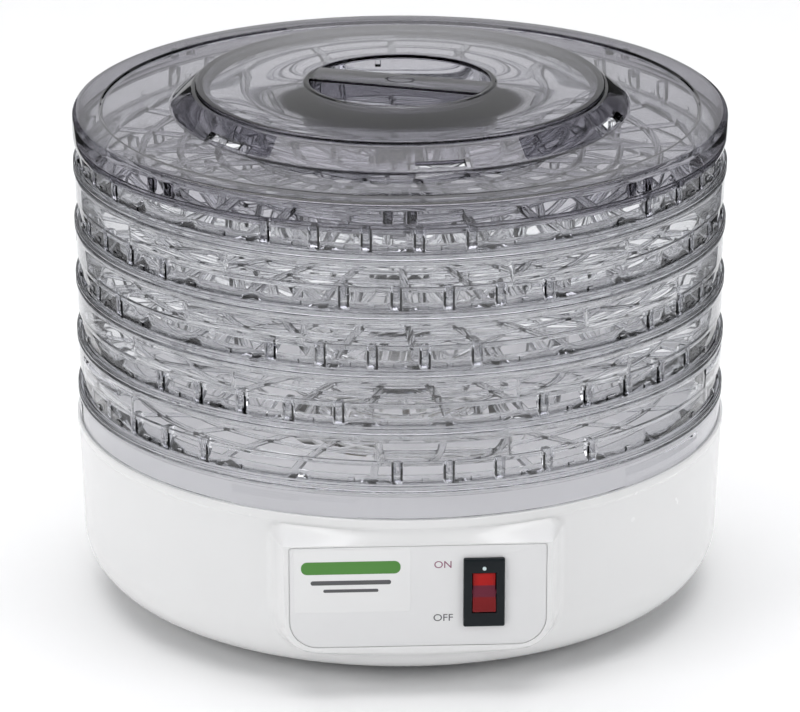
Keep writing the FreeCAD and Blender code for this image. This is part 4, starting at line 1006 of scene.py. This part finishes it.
def across_slope(foot, top, along, half_tall, reach):
    """Four corners of a section that crosses a slope square to it."""
    foot, top = Vector(foot), Vector(top)
    way = (top - foot).normalized()
    out = Vector((way.y, -way.x))
    middle = foot + way * along
    return [tuple(middle + way * half_tall * rise + out * reach * past)
            for rise, past in ((-1, -1), (-1, 1), (1, 1), (1, -1))]


def vents_cut(made, section, spread, turn):
    """Six windows cut round a turned piece."""
    blocks = [swept_block(section, turn + 60 * number, spread) for number in range(6)]
    return joined_with(made, blocks, "DIFFERENCE")


vent_turn = -83.0
vent_section = across_slope(crown_foot, crown_top, 3.6, 1.9, 4.0)
vents_cut(lid, vent_section, 12.6, vent_turn)
# The third colour is the painted shade where the smoke plastic is seen edge-on.
smoke_clear = clear_plastic("smoke_clear", (0.86, 0.86, 0.87), (0.81, 0.81, 0.83), (0.035, 0.04, 0.055),
                            (0.0, 0.05), 0.00003, (0.68, 0.67, 0.69), (0.31, 0.29, 0.36), 260.0)
finish_as(lid, "lid", "smoke_lid", smoke_clear, "lid_shell")


# ---- Vent dial and shutter ------------------------------------------------------------------
# A smoke-tinted disc drops into the crown and turns in it. The deep finger cup in its middle is
# crossed by a hollow grip bar, and a ring glued below carries the shutter's windows.

dial_low, dial_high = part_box("vent_dial")
dial_top = dial_high.z / mm - 0.5
dial_edge, cup_radius, cup_floor = dial_high.x / mm, 44.6, dial_low.z / mm
cup_outer = cup_radius + 2
dial_outline = [
    (cup_radius, cup_floor, 0.6), (cup_outer, cup_floor, 0.6), (cup_outer, dial_top - 1.9, 0.6),
    (97.1, dial_top - 1.9, 0.4), (97.1, dial_top - 4.2, 0.3), (99.2, dial_top - 4.2, 0.3),
    (99.2, dial_top - 1.6),
    (dial_edge, dial_top - 1.6, 0.3), (dial_edge, dial_top, 0.9), (cup_outer + 0.9, dial_top, 0.4),
    (cup_outer, dial_top + 0.5, 0.4), (cup_radius, dial_top + 0.5, 0.7),
]
dial = piece(turned(dial_outline, 480), "dial_disc")
grip_turn = Matrix.Rotation(math.radians(-20.0), 3, "Z")


def grip_block(name, half_length, half_width, low, high, soft):
    """A bar across the cup, its ends rounded to the cup's curve and its top edges eased."""
    bm = bmesh.new()
    bmesh.ops.create_cube(bm, size=1)
    bmesh.ops.scale(bm, vec=(2 * half_length * mm, 2 * half_width * mm, (high - low) * mm), verts=bm.verts)
    bmesh.ops.translate(bm, vec=(0, 0, (high + low) / 2 * mm), verts=bm.verts)
    top = [edge for edge in bm.edges if all(vert.co.z > (high - 0.01) * mm for vert in edge.verts)]
    bmesh.ops.bevel(bm, geom=top, offset=soft * mm, offset_type="OFFSET", affect="EDGES", segments=4,
                    profile=0.5, material=-1)
    bmesh.ops.rotate(bm, cent=(0, 0, 0), matrix=grip_turn, verts=bm.verts)
    return piece(bm, name)


grip = grip_block("grip", cup_radius + 0.6, 10.0, dial_top - 14.5, dial_top + 0.5, 1.0)
joined_with(dial, [grip], "UNION")
mark = bmesh.new()
bmesh.ops.create_circle(mark, segments=12, radius=0.45 * mm)
bmesh.ops.rotate(mark, cent=(0, 0, 0), matrix=Matrix.Rotation(math.radians(90), 3, "X"), verts=mark.verts)
bmesh.ops.translate(mark, vec=(4.6 * mm, 0, 0), verts=mark.verts)
bmesh.ops.spin(mark, geom=mark.verts[:] + mark.edges[:], cent=(0, 0, 0), axis=(0, 0, 1), dvec=(0, 0, 0),
               angle=2 * math.pi, steps=48, use_merge=True)
bmesh.ops.remove_doubles(mark, verts=mark.verts[:], dist=1e-6)
bmesh.ops.scale(mark, vec=(1.5, 1.0, 1.0), verts=mark.verts)
bmesh.ops.rotate(mark, cent=(0, 0, 0), matrix=grip_turn, verts=mark.verts)
bmesh.ops.translate(mark, vec=(0, 0, (dial_top + 0.5) * mm), verts=mark.verts)
bmesh.ops.recalc_face_normals(mark, faces=mark.faces[:])
hollow = grip_block("hollow", cup_radius - 1.0, 8.0, dial_top - 16.0, dial_top - 1.7, 0.6)
joined_with(dial, [piece(mark, "mark"), hollow], "DIFFERENCE")
finish_as(dial, "vent_dial", "smoke_lid", smoke_clear, "vent_dial")

shutter_foot, shutter_top = [corner.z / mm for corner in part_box("vent_shutter")]
shutter_outline = [(93.0, shutter_top - 1.6, 0.3), (97.6, shutter_top - 1.6, 0.8), (109.3, shutter_foot, 0.3),
                   (110.6, shutter_foot + 1.5, 0.3), (98.9, shutter_top, 0.8), (93.0, shutter_top, 0.3)]
shutter = piece(turned(shutter_outline, 480), "shutter_ring")
shutter_section = across_slope((109.95, shutter_foot + 0.75), (98.25, shutter_top - 0.8), 3.6, 3.4, 2.6)
vents_cut(shutter, shutter_section, 16.6, vent_turn)
finish_as(shutter, "vent_dial", "smoke_lid", smoke_clear, "vent_shutter")


# ---- Studio ---------------------------------------------------------------------------------
# A pale floor that sweeps up into a backdrop, broad soft lamps and a long lens. Two black cards
# at the sides show only as dark reflections, which draw the edges of the clear parts.

def area_lamp(name, place, aim, width, height, power):
    lamp = bpy.data.lights.new(name, "AREA")
    lamp.shape = "RECTANGLE"
    lamp.size = width
    lamp.size_y = height
    lamp.energy = power
    made = bpy.data.objects.new(name, lamp)
    made.location = place
    made.rotation_euler = (Vector(aim) - Vector(place)).to_track_quat("-Z", "Y").to_euler()
    bpy.context.scene.collection.objects.link(made)
    return made


sweep = bmesh.new()
path = [sweep.verts.new((-6.0, y, z)) for y, z in ((-6.0, 0.0), (3.5, 0.0), (3.5, 5.0))]
for start, end in ((path[0], path[1]), (path[1], path[2])):
    sweep.edges.new((start, end))
bmesh.ops.bevel(sweep, geom=[path[1]], offset=1.6, offset_type="OFFSET", affect="VERTICES", segments=24,
                profile=0.5, material=-1)
drawn = bmesh.ops.extrude_edge_only(sweep, edges=sweep.edges[:])
moved = [item for item in drawn["geom"] if isinstance(item, bmesh.types.BMVert)]
bmesh.ops.translate(sweep, vec=(12.0, 0, 0), verts=moved)
backdrop = piece(sweep, "backdrop")
backdrop.data.materials.append(surface("backdrop_paper", (0.96, 0.96, 0.96), (0.85, 0.95), cloud=0.01))

black_card = surface("black_card", (0.012, 0.012, 0.012), (0.85, 0.95), cloud=0.2)
for name, across in (("card_left", -400), ("card_right", 400)):
    card = box_tool((across - 2, -600, 0), (across + 2, 1200, 500), name)
    card.data.materials.append(black_card)
    card.visible_camera = card.visible_diffuse = card.visible_transmission = card.visible_shadow = False

area_lamp("lamp_over", (0.0, 0.2, 2.6), (0, 0, 0.1), 3.0, 3.0, 80)
area_lamp("lamp_left", (-2.4, -1.6, 1.5), (0, 0, 0.15), 1.6, 1.6, 26)
area_lamp("lamp_right", (2.4, -1.4, 1.3), (0, 0, 0.15), 1.6, 1.6, 18)

world = bpy.data.worlds.new("studio")
world.use_nodes = True
world.node_tree.nodes["Background"].inputs["Color"].default_value = (0.9, 0.92, 1.0, 1)
world.node_tree.nodes["Background"].inputs["Strength"].default_value = 0.16
bpy.context.scene.world = world
bpy.context.scene.view_settings.view_transform = "Standard"
bpy.context.scene.cycles.max_bounces = 26
bpy.context.scene.cycles.transmission_bounces = 26
bpy.context.scene.cycles.transparent_max_bounces = 26

lens = bpy.data.cameras.new("camera")
lens.sensor_width = 36.0
lens.lens = 210.1
lens.clip_end = 50
camera = bpy.data.objects.new("camera", lens)
bpy.context.scene.collection.objects.link(camera)
turn_left = math.radians(3.0)
camera_reach = 2.2
lid_plane = 0.2475
camera_lift = 0.6618
camera.location = (-camera_reach * math.sin(turn_left), -camera_reach * math.cos(turn_left),
                   lid_plane + camera_lift)
camera.rotation_euler = (math.radians(90 - 19.848), 0, -turn_left)
bpy.context.scene.camera = camera
